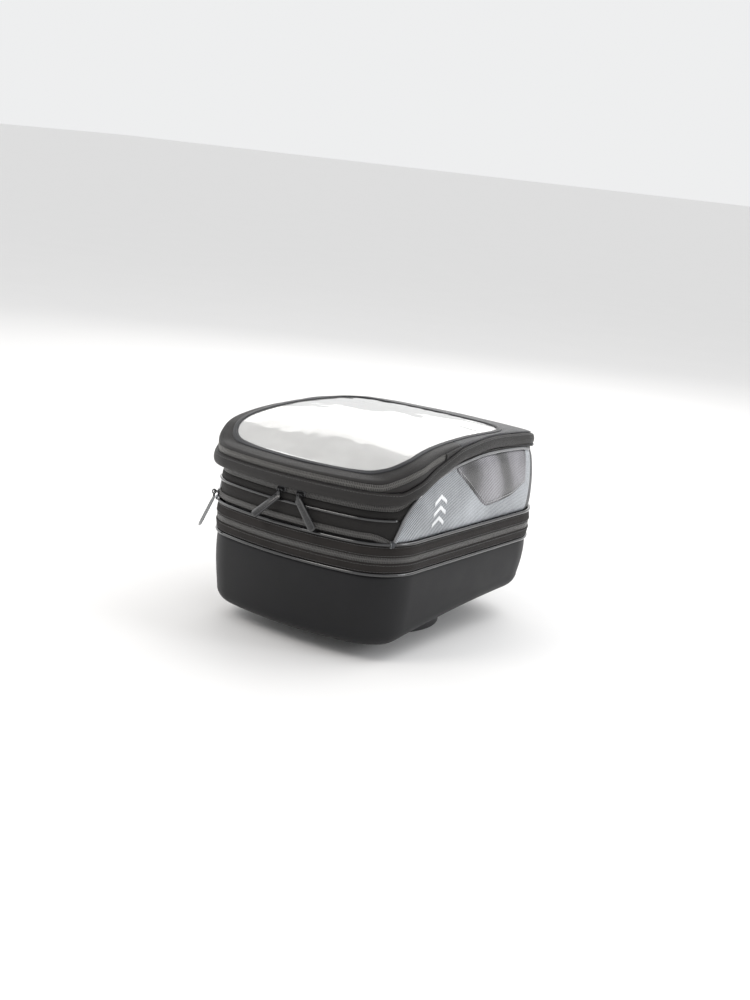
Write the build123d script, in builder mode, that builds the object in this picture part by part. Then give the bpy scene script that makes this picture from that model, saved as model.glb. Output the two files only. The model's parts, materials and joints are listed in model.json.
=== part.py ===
from build123d import *
import os
from math import cos, degrees, atan2, radians, sin, sqrt

# A motorcycle tank bag that locks onto a ring on the fuel tank.
# All lengths are in mm. +Z is up and +Y points to the front of the motorcycle.
# The origin is the centre of the tank-ring socket's mouth, in the underside of the lock housing.

# ---- Driving dimensions ----
LENGTH = 336.0  # rear face to front face
REAR_WIDTH = 240.0
FRONT_WIDTH = 228.0
REAR_CORNER_R = 52.0  # rounded corners of the plan
FRONT_CORNER_R = 60.0
REAR_BOW_R = 362.0  # radius of the bowed rear face
FRONT_BOW = 8.0  # how far the front face bows forwards
WALL = 3.0  # thickness of a padded fabric wall
REAR_PANEL_INSET = 5.5  # rear panel, inside the pocket and clear of its slider
TAPE = 3.0  # thickness of a closed zip, over its coils
ZIP_HALF = 3.4  # height of one half of a zip
ZIP_GAP = 0.6  # half the running gap between the two halves

# Heights of the level seams
SHELL_LOW = 16.0
SHELL_TOP = 91.5
SHELL_T = 4.0
FRONT_RISE = 19.0  # how much the base has risen at its front end
RISE_START = -125.0  # where the base starts to rise
BOSS_R = 80.0  # flat round boss that keeps the lock level
EXPANSION_ZIP = 108.0  # centre of the expansion zip
PIPING = 3.0
UPPER_LOW = 125.5  # top of the upper piping
POCKET_ZIP = 131.0
POCKET_TOP = 146.0
SIDE_REAR = -118.0  # where the side panels meet the rear panel
SIDE_FRONT = 112.0  # where the side panels meet the front panel

# Side views of seams, from the rear: a straight first stretch, then a smooth curve through the rest.
# The lid's lower edge is level at the rear, climbs in an S to the crest, then falls slowly.
LID_FLAT = 163.0
LID_LINE = [
    (-190, LID_FLAT),
    (-138, LID_FLAT),
    (-119, 171.5),
    (-99, 180),
    (-70, 190),
    (-38, 198),
    (20, 203),
    (90, 200),
    (190, 184),
]
LID_BAND = 12.5  # height of the overhanging band around the lid
# The map zip climbs round the rear corners faster than the lid's lower edge does
MAP_LINE = [
    (-190, 180),
    (-152, 180),
    (-138, 187.5),
    (-120, 195.4),
    (-99, 201.4),
    (-75, 205.8),
    (-45, 210.4),
    (-10, 216),
    (60, 220),
    (190, 222),
]
# The upper edge of the lid's sides, where the top begins
FLAP_LINE = -45.0  # the map window folds up about this line
FLAP_ROOF = 215.6
ROOF_LINE = [
    (-190, 187.6),
    (-152, 187.6),
    (-138, 195.4),
    (-120, 203.6),
    (-99, 209.6),
    (-75, 213.4),
    (FLAP_LINE, FLAP_ROOF),
    (-5, 217),
    (60, 215),
    (120, 207),
    (190, 196),
]
LID_OUT = 5.0  # how far the lid overhangs the walls
MAP_INSET = 3.4 - LID_OUT  # how far the map zip stands back from the bag's outline
GARAGE_OUT = 0.6  # thickness of the fabric garages over the zip's ends
WINDOW_T = 1.5  # thickness of the clear window
WINDOW_FRONT = 75.0
WINDOW_INSET = 20.0
WINDOW_R = 30.0

# Side view of the dark insert in each side panel; its upper corners run past the panel's top edge
INSERT_CORNERS = [(-50, 190), (16, 143), (70, 148), (100, 159), (100, 192), (20, 198)]
INSERT_R = 8.0

# Webbing handle on the front
HANDLE_LOW = 138.0
HANDLE_WIDTH = 25.0
HANDLE_HALF = 60.0
HANDLE_BOW = 12.0
HANDLE_T = 3.0

# Tank lock
LOCK_R = 75.0
LOCK_FLOOR = 12.0
SOCKET_R = 54.0
SOCKET_DEPTH = 8.0
UNDERCUT_R = 56.5
SCREW_R = 2.5
SCREW_PCD = 70.0
LATCH_HALF = 15.0
SPRING_X = 12.0  # the two latch springs' places
SPRING_Z = 10.0
SPRING_END = -59.0  # front end of the springs, against the latch
POST_Y = -72.0  # fixed posts behind the springs
NOTCH_Y = -66.0  # middle of the notches in the latch

# Zip slider and its pull
SLIDER_HALF = 5.5
SLIDER_H = 6.4
BAIL_OUT = 5.9  # from the zip's face to the bail's bar
NECK = 6.4  # from the bar to the pull's flat tab
PULL_W = 8.5
PULL_T = 2.5

HALF_SPAN = 160.0  # more than half of any width that is cut
TALL = 90.0  # more than the height between any two seams of the lid
REAR_Y = -LENGTH / 2
FRONT_Y = LENGTH / 2


def plan(level=0.0, inset=0.0):
    """The bag's plan outline at a height, moved inwards by inset."""
    rear_half = REAR_WIDTH / 2
    front_half = FRONT_WIDTH / 2
    rear_corner_y = REAR_Y + REAR_BOW_R - sqrt(REAR_BOW_R**2 - rear_half**2)
    with BuildSketch(Plane.XY.offset(level)) as sketch:
        with BuildLine():
            rear = ThreePointArc((-rear_half, rear_corner_y), (0, REAR_Y), (rear_half, rear_corner_y))
            front_corner_y = FRONT_Y - FRONT_BOW * 2
            front = ThreePointArc((front_half, front_corner_y), (0, FRONT_Y), (-front_half, front_corner_y))
            Line(rear @ 1, front @ 0)
            Line(front @ 1, rear @ 0)
        make_face()
        fillet(sketch.vertices().sort_by(Axis.Y)[:2], REAR_CORNER_R)
        fillet(sketch.vertices().sort_by(Axis.Y)[-2:], FRONT_CORNER_R)
        if inset:
            offset(amount=-inset)
    return sketch.sketch


def ring(level, inset, thickness):
    """The plan outline as a closed wall's footprint."""
    with BuildSketch(Plane.XY.offset(level)) as sketch:
        add(plan(0, inset))
        add(plan(0, inset + thickness), mode=Mode.SUBTRACT)
    return sketch.sketch


def seam(line, lift):
    """A seam's side view, moved up by lift. It draws in the line that is open, and returns its two ends."""
    first, second, *rest = [(y, z + lift) for y, z in line]
    before_last, last = rest[-2:]
    start_way = (second[0] - first[0], second[1] - first[1])
    end_way = (last[0] - before_last[0], last[1] - before_last[1])
    straight = Line(first, second)
    curve = Spline(second, *rest, tangents=(start_way, end_way))
    return straight @ 0, curve @ 1


def side_strip(low_line, low, high_line, high):
    """The side view of what lies between two seams, each moved up by its own amount."""
    with BuildSketch(Plane.YZ) as sketch:
        with BuildLine():
            lower_start, lower_end = seam(low_line, low)
            upper_start, upper_end = seam(high_line, high)
            Line(lower_start, upper_start)
            Line(lower_end, upper_end)
        make_face()
    return sketch.sketch


def side_box(y_low, y_high, z_low=0.0, z_high=260.0):
    """The side view of a block between two places along the bag."""
    with BuildSketch(Plane.YZ) as sketch:
        with Locations(((y_low + y_high) / 2, (z_low + z_high) / 2)):
            Rectangle(y_high - y_low, z_high - z_low)
    return sketch.sketch


def window_plan():
    """The clear window's outline: rounded, and narrower towards the front."""
    with BuildSketch() as sketch:
        add(plan(0, WINDOW_INSET))
        with Locations((0, (REAR_Y + WINDOW_FRONT) / 2)):
            Rectangle(REAR_WIDTH, WINDOW_FRONT - REAR_Y, mode=Mode.INTERSECT)
        fillet(sketch.vertices().sort_by(Axis.Y)[-2:], WINDOW_R)
    return sketch.sketch


def save(piece, name):
    piece.label = name
    export_step(piece, f"parts/{name}.step")


def level_wall(name, low, high, inset, thickness):
    """A wall of constant height around the whole bag."""
    with BuildPart() as wall:
        extrude(ring(low, inset, thickness), amount=high - low)
    save(wall.part, name)


def lined_wall(name, inset, thickness, strip, keep):
    """A wall around the bag, cut to a strip of the side view and to a stretch of its length."""
    with BuildPart() as wall:
        extrude(ring(SHELL_TOP, inset, thickness), amount=HALF_SPAN)
        extrude(strip, amount=HALF_SPAN, both=True, mode=Mode.INTERSECT)
        extrude(side_box(*keep), amount=HALF_SPAN, both=True, mode=Mode.INTERSECT)
    save(wall.part, name)


os.makedirs("parts", exist_ok=True)
WHOLE = (REAR_Y - 5, FRONT_Y + 5)
REAR_REGION = (REAR_Y - 5, SIDE_REAR)
FRONT_REGION = (SIDE_FRONT, FRONT_Y + 5)
ZIP_REGION = (REAR_Y - 5, 122.0)
FLAP_REGION = (REAR_Y - 5, FLAP_LINE - 0.3)
MAP_ZIP_REGION = (REAR_Y - 5, -73.0)
GARAGE_REGION = (-72.6, -55.0)


# ---- Moulded base shell ----
def base_side(lift):
    """Side view of the base: level at the rear, then rising, and level again at the front."""
    with BuildSketch(Plane.YZ) as sketch:
        with BuildLine():
            front = (FRONT_Y + 5, SHELL_LOW + FRONT_RISE + lift)
            rising = TangentArc([front, (RISE_START, SHELL_LOW + lift)], tangent=(-1, 0))
            rear_low = (REAR_Y - 5, SHELL_LOW + lift)
            Line(rising @ 1, rear_low)
            Line(rear_low, (REAR_Y - 5, SHELL_TOP))
            Line((REAR_Y - 5, SHELL_TOP), (FRONT_Y + 5, SHELL_TOP))
            Line((FRONT_Y + 5, SHELL_TOP), rising @ 0)
        make_face()
    return sketch.sketch




def base_body(inset):
    """The base as a solid block with its lock boss, moved inwards by inset on every side but the top."""
    with BuildPart() as block:
        extrude(plan(SHELL_LOW, inset), amount=SHELL_TOP - SHELL_LOW)
        extrude(base_side(inset), amount=HALF_SPAN, both=True, mode=Mode.INTERSECT)
        with BuildSketch(Plane.XY.offset(SHELL_LOW + inset)):
            Circle(BOSS_R - inset)
        extrude(amount=FRONT_RISE)
    return block.part


with BuildPart() as base_shell:
    add(base_body(0))
    add(base_body(SHELL_T), mode=Mode.SUBTRACT)
    with Locations((0, 0, SHELL_LOW)):
        with PolarLocations(SCREW_PCD / 2, 4, 45):
            Cylinder(SCREW_R, 2 * SHELL_T, mode=Mode.SUBTRACT)
save(base_shell.part, "base_shell")

# ---- Tank lock under the base ----
with BuildPart() as lock_housing:
    with BuildSketch():
        Circle(LOCK_R)
    extrude(amount=SHELL_LOW)
    fillet(lock_housing.edges().group_by(Axis.Z)[0], 1.5)
    with BuildSketch():
        Circle(SOCKET_R)
    extrude(amount=SOCKET_DEPTH, mode=Mode.SUBTRACT)
    with BuildSketch(Plane.XY.offset(SOCKET_DEPTH)):
        Circle(UNDERCUT_R)
    extrude(amount=LOCK_FLOOR - SOCKET_DEPTH, mode=Mode.SUBTRACT)
    with BuildSketch(Plane.XY.offset(SOCKET_DEPTH)):
        with Locations((0, -(LOCK_R + UNDERCUT_R) / 2)):
            Rectangle(2 * LATCH_HALF + 1, LOCK_R - UNDERCUT_R + 14)
    extrude(amount=LOCK_FLOOR - SOCKET_DEPTH, mode=Mode.SUBTRACT)
    with BuildSketch(Plane.XY.offset(LOCK_FLOOR)):
        with PolarLocations(SCREW_PCD / 2, 4, 45):
            Circle(SCREW_R)
    extrude(amount=SHELL_LOW - LOCK_FLOOR, mode=Mode.SUBTRACT)
    with BuildSketch(Plane.XY.offset(SOCKET_DEPTH)):
        with Locations((-SPRING_X, POST_Y), (SPRING_X, POST_Y)):
            Rectangle(3, 2)
    extrude(amount=LOCK_FLOOR - SOCKET_DEPTH)
save(lock_housing.part, "lock_housing")

with BuildPart() as lock_slider:
    with BuildSketch(Plane.XY.offset(SOCKET_DEPTH + 0.4)) as latch_plan:
        with Locations((0, -(LOCK_R + 5 + SOCKET_R - 3) / 2)):
            Rectangle(2 * LATCH_HALF, LOCK_R + 5 - SOCKET_R + 3)
        fillet(latch_plan.vertices(), 3)
        with Locations((0, -LOCK_R - 1)):
            SlotOverall(22, 3, mode=Mode.SUBTRACT)
        with Locations((-SPRING_X, NOTCH_Y), (SPRING_X, NOTCH_Y)):
            Rectangle(4.4, 2 * (SPRING_END - NOTCH_Y), mode=Mode.SUBTRACT)
    extrude(amount=LOCK_FLOOR - SOCKET_DEPTH - 0.8)
save(lock_slider.part, "lock_slider")

with BuildPart() as latch_springs:
    with BuildSketch(Plane.XZ.offset(-SPRING_END)):
        with Locations((-SPRING_X, SPRING_Z), (SPRING_X, SPRING_Z)):
            Circle(1.3)
            Circle(0.8, mode=Mode.SUBTRACT)
    extrude(amount=SPRING_END - POST_Y - 1)
save(latch_springs.part, "latch_springs")

with BuildPart() as release_strap:
    strap_low = SOCKET_DEPTH + 0.4
    strap_root = -LOCK_R - 1
    with BuildSketch(Plane.YZ.offset(-9)):
        with BuildLine():
            Polyline(
                (strap_root - 1.0, strap_low - 1.4),
                (strap_root + 1.0, strap_low - 1.4),
                (strap_root + 1.0, LOCK_FLOOR + 1.2),
                (strap_root - 52, LOCK_FLOOR + 1.2),
                (strap_root - 52, strap_low - 1.4),
                (strap_root - 5.6, strap_low - 1.4),
                (strap_root - 5.6, LOCK_FLOOR - 0.2),
                (strap_root - 1.0, LOCK_FLOOR - 0.2),
                close=True,
            )
        make_face()
    extrude(amount=18)
save(release_strap.part, "release_strap")

PLATE_LOW = SHELL_LOW + SHELL_T + 2
with BuildPart() as base_stiffener:
    with BuildSketch(Plane.XY.offset(SHELL_LOW + SHELL_T)):
        Circle(BOSS_R - SHELL_T - 2)
    extrude(amount=2)
    with BuildSketch(Plane.XY.offset(SHELL_LOW + SHELL_T)):
        with PolarLocations(SCREW_PCD / 2, 4, 45):
            Circle(SCREW_R)
    extrude(amount=2, mode=Mode.SUBTRACT)
save(base_stiffener.part, "base_stiffener")

with BuildPart() as lock_backing_plate:
    with BuildSketch(Plane.XY.offset(PLATE_LOW)):
        Circle(50)
        with PolarLocations(SCREW_PCD / 2, 4, 45):
            Circle(SCREW_R, mode=Mode.SUBTRACT)
    extrude(amount=2)
save(lock_backing_plate.part, "lock_backing_plate")

with BuildPart() as lock_screws:
    with BuildSketch(Plane.XY.offset(LOCK_FLOOR - 2.0)):
        with PolarLocations(SCREW_PCD / 2, 4, 45):
            Circle(2 * SCREW_R)
    extrude(amount=2.0)
    with BuildSketch(Plane.XY.offset(LOCK_FLOOR)):
        with PolarLocations(SCREW_PCD / 2, 4, 45):
            Circle(SCREW_R)
    extrude(amount=PLATE_LOW + 2 + 6 - LOCK_FLOOR)
save(lock_screws.part, "lock_screws")

with BuildPart() as lock_nuts:
    with BuildSketch(Plane.XY.offset(PLATE_LOW + 2)):
        with PolarLocations(SCREW_PCD / 2, 4, 45):
            RegularPolygon(4.6, 6)
            Circle(SCREW_R, mode=Mode.SUBTRACT)
    extrude(amount=4)
save(lock_nuts.part, "lock_nuts")

# ---- Level bands and the expansion zip ----
LOWER_BAND_LOW = SHELL_TOP + PIPING
LOWER_CHAIN_LOW = EXPANSION_ZIP - ZIP_GAP - ZIP_HALF
UPPER_CHAIN_TOP = EXPANSION_ZIP + ZIP_GAP + ZIP_HALF
level_wall("lower_piping", SHELL_TOP, LOWER_BAND_LOW, -1.2, 3.6)
level_wall("lower_band", LOWER_BAND_LOW, LOWER_CHAIN_LOW, 0, WALL)
level_wall("expansion_zip_lower_chain", LOWER_CHAIN_LOW, EXPANSION_ZIP - ZIP_GAP, 1.2, TAPE)
level_wall("expansion_gusset", LOWER_BAND_LOW, UPPER_LOW, 6.6, 1.5)
level_wall("expansion_zip_upper_chain", EXPANSION_ZIP + ZIP_GAP, UPPER_CHAIN_TOP, 1.2, TAPE)
level_wall("upper_band", UPPER_CHAIN_TOP, UPPER_LOW - PIPING, 0, WALL)
level_wall("upper_piping", UPPER_LOW - PIPING, UPPER_LOW, -1.2, 3.6)

# ---- Upright panels between the expansion band and the main zip ----
CHAIN_LOW = -ZIP_HALF - 4.0 - ZIP_GAP
below_zip = side_strip([(y, UPPER_LOW) for y, _ in LID_LINE], 0, LID_LINE, CHAIN_LOW)
lined_wall("rear_panel", REAR_PANEL_INSET, WALL, below_zip, REAR_REGION)
lined_wall("front_panel", 0.6, WALL, below_zip, FRONT_REGION)
lined_wall("wall_foam", 8.6, 3.0, below_zip, WHOLE)

with BuildPart() as side_panels:
    extrude(ring(UPPER_LOW, 0.6, WALL), amount=HALF_SPAN)
    extrude(below_zip, amount=HALF_SPAN, both=True, mode=Mode.INTERSECT)
    extrude(side_box(SIDE_REAR, SIDE_FRONT), amount=HALF_SPAN, both=True, mode=Mode.INTERSECT)


def insert_side(grow):
    """The dark insert in each side panel, seen from the side, larger by grow."""
    with BuildSketch(Plane.YZ) as sketch:
        with BuildLine():
            Polyline(*INSERT_CORNERS, close=True)
        make_face()
        fillet(sketch.vertices().sort_by(Axis.Y)[1], INSERT_R)
        if grow:
            offset(amount=grow)
    return sketch.sketch


for side, sign in (("left", -1), ("right", 1)):
    half = Box(HALF_SPAN, 2 * LENGTH, 2 * HALF_SPAN, align=(Align.MIN, Align.CENTER, Align.MIN))
    half = half if sign > 0 else mirror(half, about=Plane.YZ)
    with BuildPart() as insert_block:
        extrude(insert_side(0), amount=HALF_SPAN, both=True)
    with BuildPart() as side_panel:
        add(side_panels.part)
        add(half, mode=Mode.INTERSECT)
        add(insert_block.part, mode=Mode.SUBTRACT)
    save(side_panel.part, f"{side}_side_panel")
    with BuildPart() as side_insert:
        add(side_panels.part)
        add(half, mode=Mode.INTERSECT)
        add(insert_block.part, mode=Mode.INTERSECT)
    save(side_insert.part, f"{side}_side_insert")
    with BuildPart() as side_piping:
        extrude(ring(UPPER_LOW, -1.0, 1.5), amount=HALF_SPAN)
        extrude(
            side_strip(LID_LINE, -8, LID_LINE, -5),
            amount=HALF_SPAN,
            both=True,
            mode=Mode.INTERSECT,
        )
        extrude(side_box(SIDE_REAR, SIDE_FRONT), amount=HALF_SPAN, both=True, mode=Mode.INTERSECT)
        add(half, mode=Mode.INTERSECT)
    save(side_piping.part, f"{side}_side_piping")

# ---- Flat pocket across the rear ----
level = [(y, 0) for y, _ in LID_LINE]
POCKET_ZIP_TOP = POCKET_ZIP + ZIP_GAP + ZIP_HALF
pocket_chain = side_strip(level, POCKET_ZIP - ZIP_GAP - ZIP_HALF, level, POCKET_ZIP_TOP)
pocket_gap = side_strip(level, POCKET_ZIP - ZIP_GAP, level, POCKET_ZIP + ZIP_GAP)
pocket_cover = side_strip(level, POCKET_ZIP_TOP, level, POCKET_TOP)
pocket_edge = side_strip(level, POCKET_TOP, level, POCKET_TOP + PIPING)
with BuildPart() as pocket_zip_chain:
    extrude(ring(SHELL_TOP, 0, TAPE), amount=HALF_SPAN)
    extrude(pocket_chain, amount=HALF_SPAN, both=True, mode=Mode.INTERSECT)
    extrude(side_box(*REAR_REGION), amount=HALF_SPAN, both=True, mode=Mode.INTERSECT)
    extrude(pocket_gap, amount=HALF_SPAN, both=True, mode=Mode.SUBTRACT)
save(pocket_zip_chain.part, "pocket_zip_chain")
lined_wall("pocket_cover", 0.2, 1.6, pocket_cover, REAR_REGION)
lined_wall("pocket_piping", -0.8, 3.2, pocket_edge, REAR_REGION)

# ---- Main zip, lid band and lid ----
main_lower = side_strip(LID_LINE, CHAIN_LOW, LID_LINE, -4.0 - ZIP_GAP)
main_upper = side_strip(LID_LINE, -4.0 + ZIP_GAP, LID_LINE, 0)
lined_wall("main_zip_lower_chain", 3.0, TAPE, main_lower, ZIP_REGION)
lined_wall("main_zip_upper_chain", 3.0, TAPE, main_upper, ZIP_REGION)
lined_wall("lid_band", -0.4 - LID_OUT, WALL + LID_OUT, side_strip(LID_LINE, 0, LID_LINE, LID_BAND), WHOLE)

with BuildPart() as lid_stiffener:
    extrude(plan(SHELL_TOP, 7), amount=HALF_SPAN)
    extrude(side_strip(LID_LINE, 0.2, LID_LINE, 3), amount=HALF_SPAN, both=True, mode=Mode.INTERSECT)
save(lid_stiffener.part, "lid_stiffener")

with BuildPart() as map_pocket_floor:
    extrude(plan(SHELL_TOP, 2.6), amount=HALF_SPAN)
    floor_strip = side_strip(LID_LINE, 3, LID_LINE, 6)
    extrude(floor_strip, amount=HALF_SPAN, both=True, mode=Mode.INTERSECT)
save(map_pocket_floor.part, "map_pocket_floor")

MAP_EDGE = ZIP_GAP + ZIP_HALF  # from the map zip's centre to the top of its upper half
map_lower = side_strip(LID_LINE, LID_BAND, MAP_LINE, -ZIP_GAP)
map_upper = side_strip(MAP_LINE, ZIP_GAP, MAP_LINE, MAP_EDGE)
lined_wall("map_zip_lower_chain", MAP_INSET, TAPE, map_lower, MAP_ZIP_REGION)
lined_wall("map_zip_upper_chain", MAP_INSET, TAPE, map_upper, MAP_ZIP_REGION)
garage_strip = side_strip(LID_LINE, LID_BAND, MAP_LINE, MAP_EDGE - 2)
lined_wall("map_zip_garages", MAP_INSET - GARAGE_OUT, TAPE + 2 * GARAGE_OUT, garage_strip, GARAGE_REGION)

BORDER_INSET = 5.0 - LID_OUT
FRONT_INSET = 2.6
with BuildPart() as map_border:
    extrude(ring(SHELL_TOP, BORDER_INSET, WALL), amount=HALF_SPAN)
    extrude(side_strip(MAP_LINE, MAP_EDGE + 1, MAP_LINE, TALL), amount=HALF_SPAN, both=True, mode=Mode.INTERSECT)
    extrude(side_strip(ROOF_LINE, -TALL, ROOF_LINE, 0), amount=HALF_SPAN, both=True, mode=Mode.INTERSECT)
    with BuildPart(mode=Mode.PRIVATE) as roof_rim:
        extrude(plan(SHELL_TOP, BORDER_INSET), amount=HALF_SPAN)
        extrude(window_plan(), amount=2 * HALF_SPAN, mode=Mode.SUBTRACT)
        extrude(side_strip(ROOF_LINE, -WALL, ROOF_LINE, 0), amount=HALF_SPAN, both=True, mode=Mode.INTERSECT)
    add(roof_rim.part)
    extrude(side_box(*FLAP_REGION), amount=HALF_SPAN, both=True, mode=Mode.INTERSECT)
save(map_border.part, "map_border")

with BuildPart() as lid_front_panel:
    extrude(ring(SHELL_TOP, FRONT_INSET, WALL), amount=HALF_SPAN)
    extrude(side_strip(LID_LINE, LID_BAND, LID_LINE, TALL), amount=HALF_SPAN, both=True, mode=Mode.INTERSECT)
    extrude(side_strip(ROOF_LINE, -TALL, ROOF_LINE, 0), amount=HALF_SPAN, both=True, mode=Mode.INTERSECT)
    with BuildPart(mode=Mode.PRIVATE) as front_roof:
        extrude(plan(SHELL_TOP, FRONT_INSET), amount=HALF_SPAN)
        extrude(window_plan(), amount=2 * HALF_SPAN, mode=Mode.SUBTRACT)
        extrude(side_strip(ROOF_LINE, -WALL, ROOF_LINE, 0), amount=HALF_SPAN, both=True, mode=Mode.INTERSECT)
    add(front_roof.part)
    extrude(side_box(FLAP_LINE, FRONT_Y + 5), amount=HALF_SPAN, both=True, mode=Mode.INTERSECT)
save(lid_front_panel.part, "lid_front_panel")

window_strip = side_strip(ROOF_LINE, 0, ROOF_LINE, WINDOW_T)
for name, keep in (("window_flap", FLAP_REGION), ("window_front", (FLAP_LINE, FRONT_Y))):
    with BuildPart() as window:
        extrude(window_plan(), amount=2 * HALF_SPAN)
        extrude(window_strip, amount=HALF_SPAN, both=True, mode=Mode.INTERSECT)
        extrude(side_box(*keep), amount=HALF_SPAN, both=True, mode=Mode.INTERSECT)
    save(window.part, name)

# ---- Webbing carry handle on the front panel ----
with BuildPart() as carry_handle:
    with BuildSketch(Plane.XY.offset(HANDLE_LOW)):
        with BuildLine():
            foot = FRONT_Y - 2.4
            outer_half = HANDLE_HALF + HANDLE_T
            bow = FRONT_Y + HANDLE_BOW
            inner = ThreePointArc((-HANDLE_HALF, foot), (0, bow), (HANDLE_HALF, foot))
            outer = ThreePointArc((-outer_half, foot), (0, bow + HANDLE_T), (outer_half, foot))
            Line(inner @ 0, outer @ 0)
            Line(inner @ 1, outer @ 1)
        make_face()
    extrude(amount=HANDLE_WIDTH)
save(carry_handle.part, "carry_handle")

# ---- Zip sliders and pulls ----
# Each slider stands in a local frame: zip's outer face at y = 0, outwards is -y, zip's centre at z = 0.
with BuildPart() as slider:
    with BuildSketch(Plane.XZ.offset(0.6)) as front_plate:
        RectangleRounded(2 * SLIDER_HALF, SLIDER_H, 2)
    extrude(amount=1.6)
    with BuildSketch(Plane.XZ.offset(-TAPE - 0.6)):
        RectangleRounded(2 * SLIDER_HALF, SLIDER_H, 2)
    extrude(amount=-1.2)
    with Locations((0, TAPE / 2, 0)):
        Box(3, TAPE + 3, 0.4)
    bail_depth = BAIL_OUT + 0.7 - 2.0
    with BuildSketch(Plane.XY.offset(-0.7)):
        with Locations((0, -2.0 - bail_depth / 2)):
            Rectangle(7.4, bail_depth)
        with Locations((0, -2.0 - (bail_depth - 1.4) / 2)):
            Rectangle(4.8, bail_depth - 1.4, mode=Mode.SUBTRACT)
    extrude(amount=1.4)


def zip_pull(skew, lean, length):
    """A flat pull that hangs from the bail's bar, turned sideways by skew and outwards by lean."""
    with BuildPart() as pull:
        with BuildSketch(Plane.YZ.offset(-1.8)):
            with Locations((-BAIL_OUT, 0)):
                Circle(2.5)
                Circle(1.3, mode=Mode.SUBTRACT)
        extrude(amount=3.6)
        with Locations((0, -BAIL_OUT, -4.6)):
            Box(3.6, 2.2, 5.0)
        across = Vector(1, 0, 0)
        down = Vector(0, -sin(radians(lean)), -cos(radians(lean)))
        run = down * cos(radians(skew)) + across * sin(radians(skew))
        start = Vector(0, -BAIL_OUT, -NECK)
        face = Plane(start, x_dir=run, z_dir=down.cross(across))
        with BuildSketch(face.offset(-PULL_T / 2)):
            with Locations(((length - NECK - 1) / 2, 0)):
                RectangleRounded(length - NECK + 1, PULL_W, 2.5)
        extrude(amount=PULL_T)
    return pull.part


def arc_place(centre, radius, angle, height):
    """A slider's frame on a level arc; angle is measured from the rear, towards the left."""
    outward = Vector(-sin(radians(angle)), -cos(radians(angle)), 0)
    origin = Vector(*centre, height) + outward * radius
    return Plane(origin, x_dir=outward.cross(Vector(0, 0, -1)), z_dir=(0, 0, 1))


REAR_CENTRE = (0, REAR_Y + REAR_BOW_R)
rear_arc = plan().edges().filter_by(GeomType.CIRCLE).sort_by(Axis.Y)
corner_arc = [e for e in rear_arc if abs(e.radius - REAR_CORNER_R) < 0.1 and e.center().X < 0][0]
CORNER_CENTRE = (corner_arc.arc_center.X, corner_arc.arc_center.Y)
side_line = [e for e in plan().edges().filter_by(GeomType.LINE) if e.center().X < 0][0]
side_tangent = (side_line @ 1) - (side_line @ 0)
side_tangent = side_tangent if side_tangent.Y < 0 else side_tangent * -1
side_mid = side_line.center()
side_outward = Vector(0, 0, 1).cross(side_tangent).normalized()
side_outward = side_outward if side_outward.X < 0 else side_outward * -1


def side_place(y, inset, height, climb=0.0):
    """A slider's frame on the left side, with its run climbing towards the front by climb degrees."""
    along = side_tangent.normalized()
    origin = side_mid + along * ((y - side_mid.Y) / along.Y) - side_outward * inset + Vector(0, 0, height)
    run = Vector(along.X, along.Y, 0) * cos(radians(climb)) - Vector(0, 0, 1) * sin(radians(climb))
    return Plane(origin, x_dir=run, z_dir=side_outward.cross(run))


MAIN_Z = LID_FLAT - 4.0
MAP_SLIDER_Y = -94.0
map_first, map_second, *map_rest = MAP_LINE
map_start_way = Vector(*map_second) - Vector(*map_first)
map_end_way = Vector(*map_rest[-1]) - Vector(*map_rest[-2])
map_zip = Spline(map_second, *map_rest, tangents=(map_start_way, map_end_way))
map_cut = Line((MAP_SLIDER_Y, 0), (MAP_SLIDER_Y, TALL + HALF_SPAN))
map_crossing = map_zip.intersect(map_cut).vertices()[0]
map_run = map_zip.tangent_at(map_zip.param_at_point(Vector(map_crossing)))
MAP_CLIMB = degrees(atan2(map_run.Y, map_run.X))
LEFT_ANGLE = degrees(atan2(7.0, REAR_BOW_R))
RIGHT_ANGLE = -degrees(atan2(17.0, REAR_BOW_R))
sliders = {
    "main_slider_left": (arc_place(REAR_CENTRE, REAR_BOW_R - 3.0, LEFT_ANGLE, MAIN_Z), -38, 28, 40),
    "main_slider_right": (arc_place(REAR_CENTRE, REAR_BOW_R - 3.0, RIGHT_ANGLE, MAIN_Z), 42, 8, 41),
    "pocket_slider": (arc_place(CORNER_CENTRE, REAR_CORNER_R, 50, POCKET_ZIP), 26, 25, 40),
    "expansion_slider": (side_place(20.0, 1.2, EXPANSION_ZIP), 0, 6, 34),
    "map_slider": (side_place(MAP_SLIDER_Y, MAP_INSET, map_crossing.Y, MAP_CLIMB), MAP_CLIMB, 14, 34),
}
for name, (place, skew, lean, length) in sliders.items():
    save(place.location * slider.part, name)
    save(place.location * zip_pull(skew, lean, length), name.replace("slider", "pull"))
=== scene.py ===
"""A motorcycle tank bag: moulded base, expansion zip, padded walls, hinged lid and clear map window.

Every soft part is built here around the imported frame. Lengths are in millimetres until a mesh is made.
The bag's walls all follow one plan outline. A place on it is s, the distance along the outline from
the middle of the rear, positive to the right, and inset, the distance inwards.
"""

import json
import math

import bmesh
import bpy
import numpy as np
from mathutils import Matrix, Vector


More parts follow.
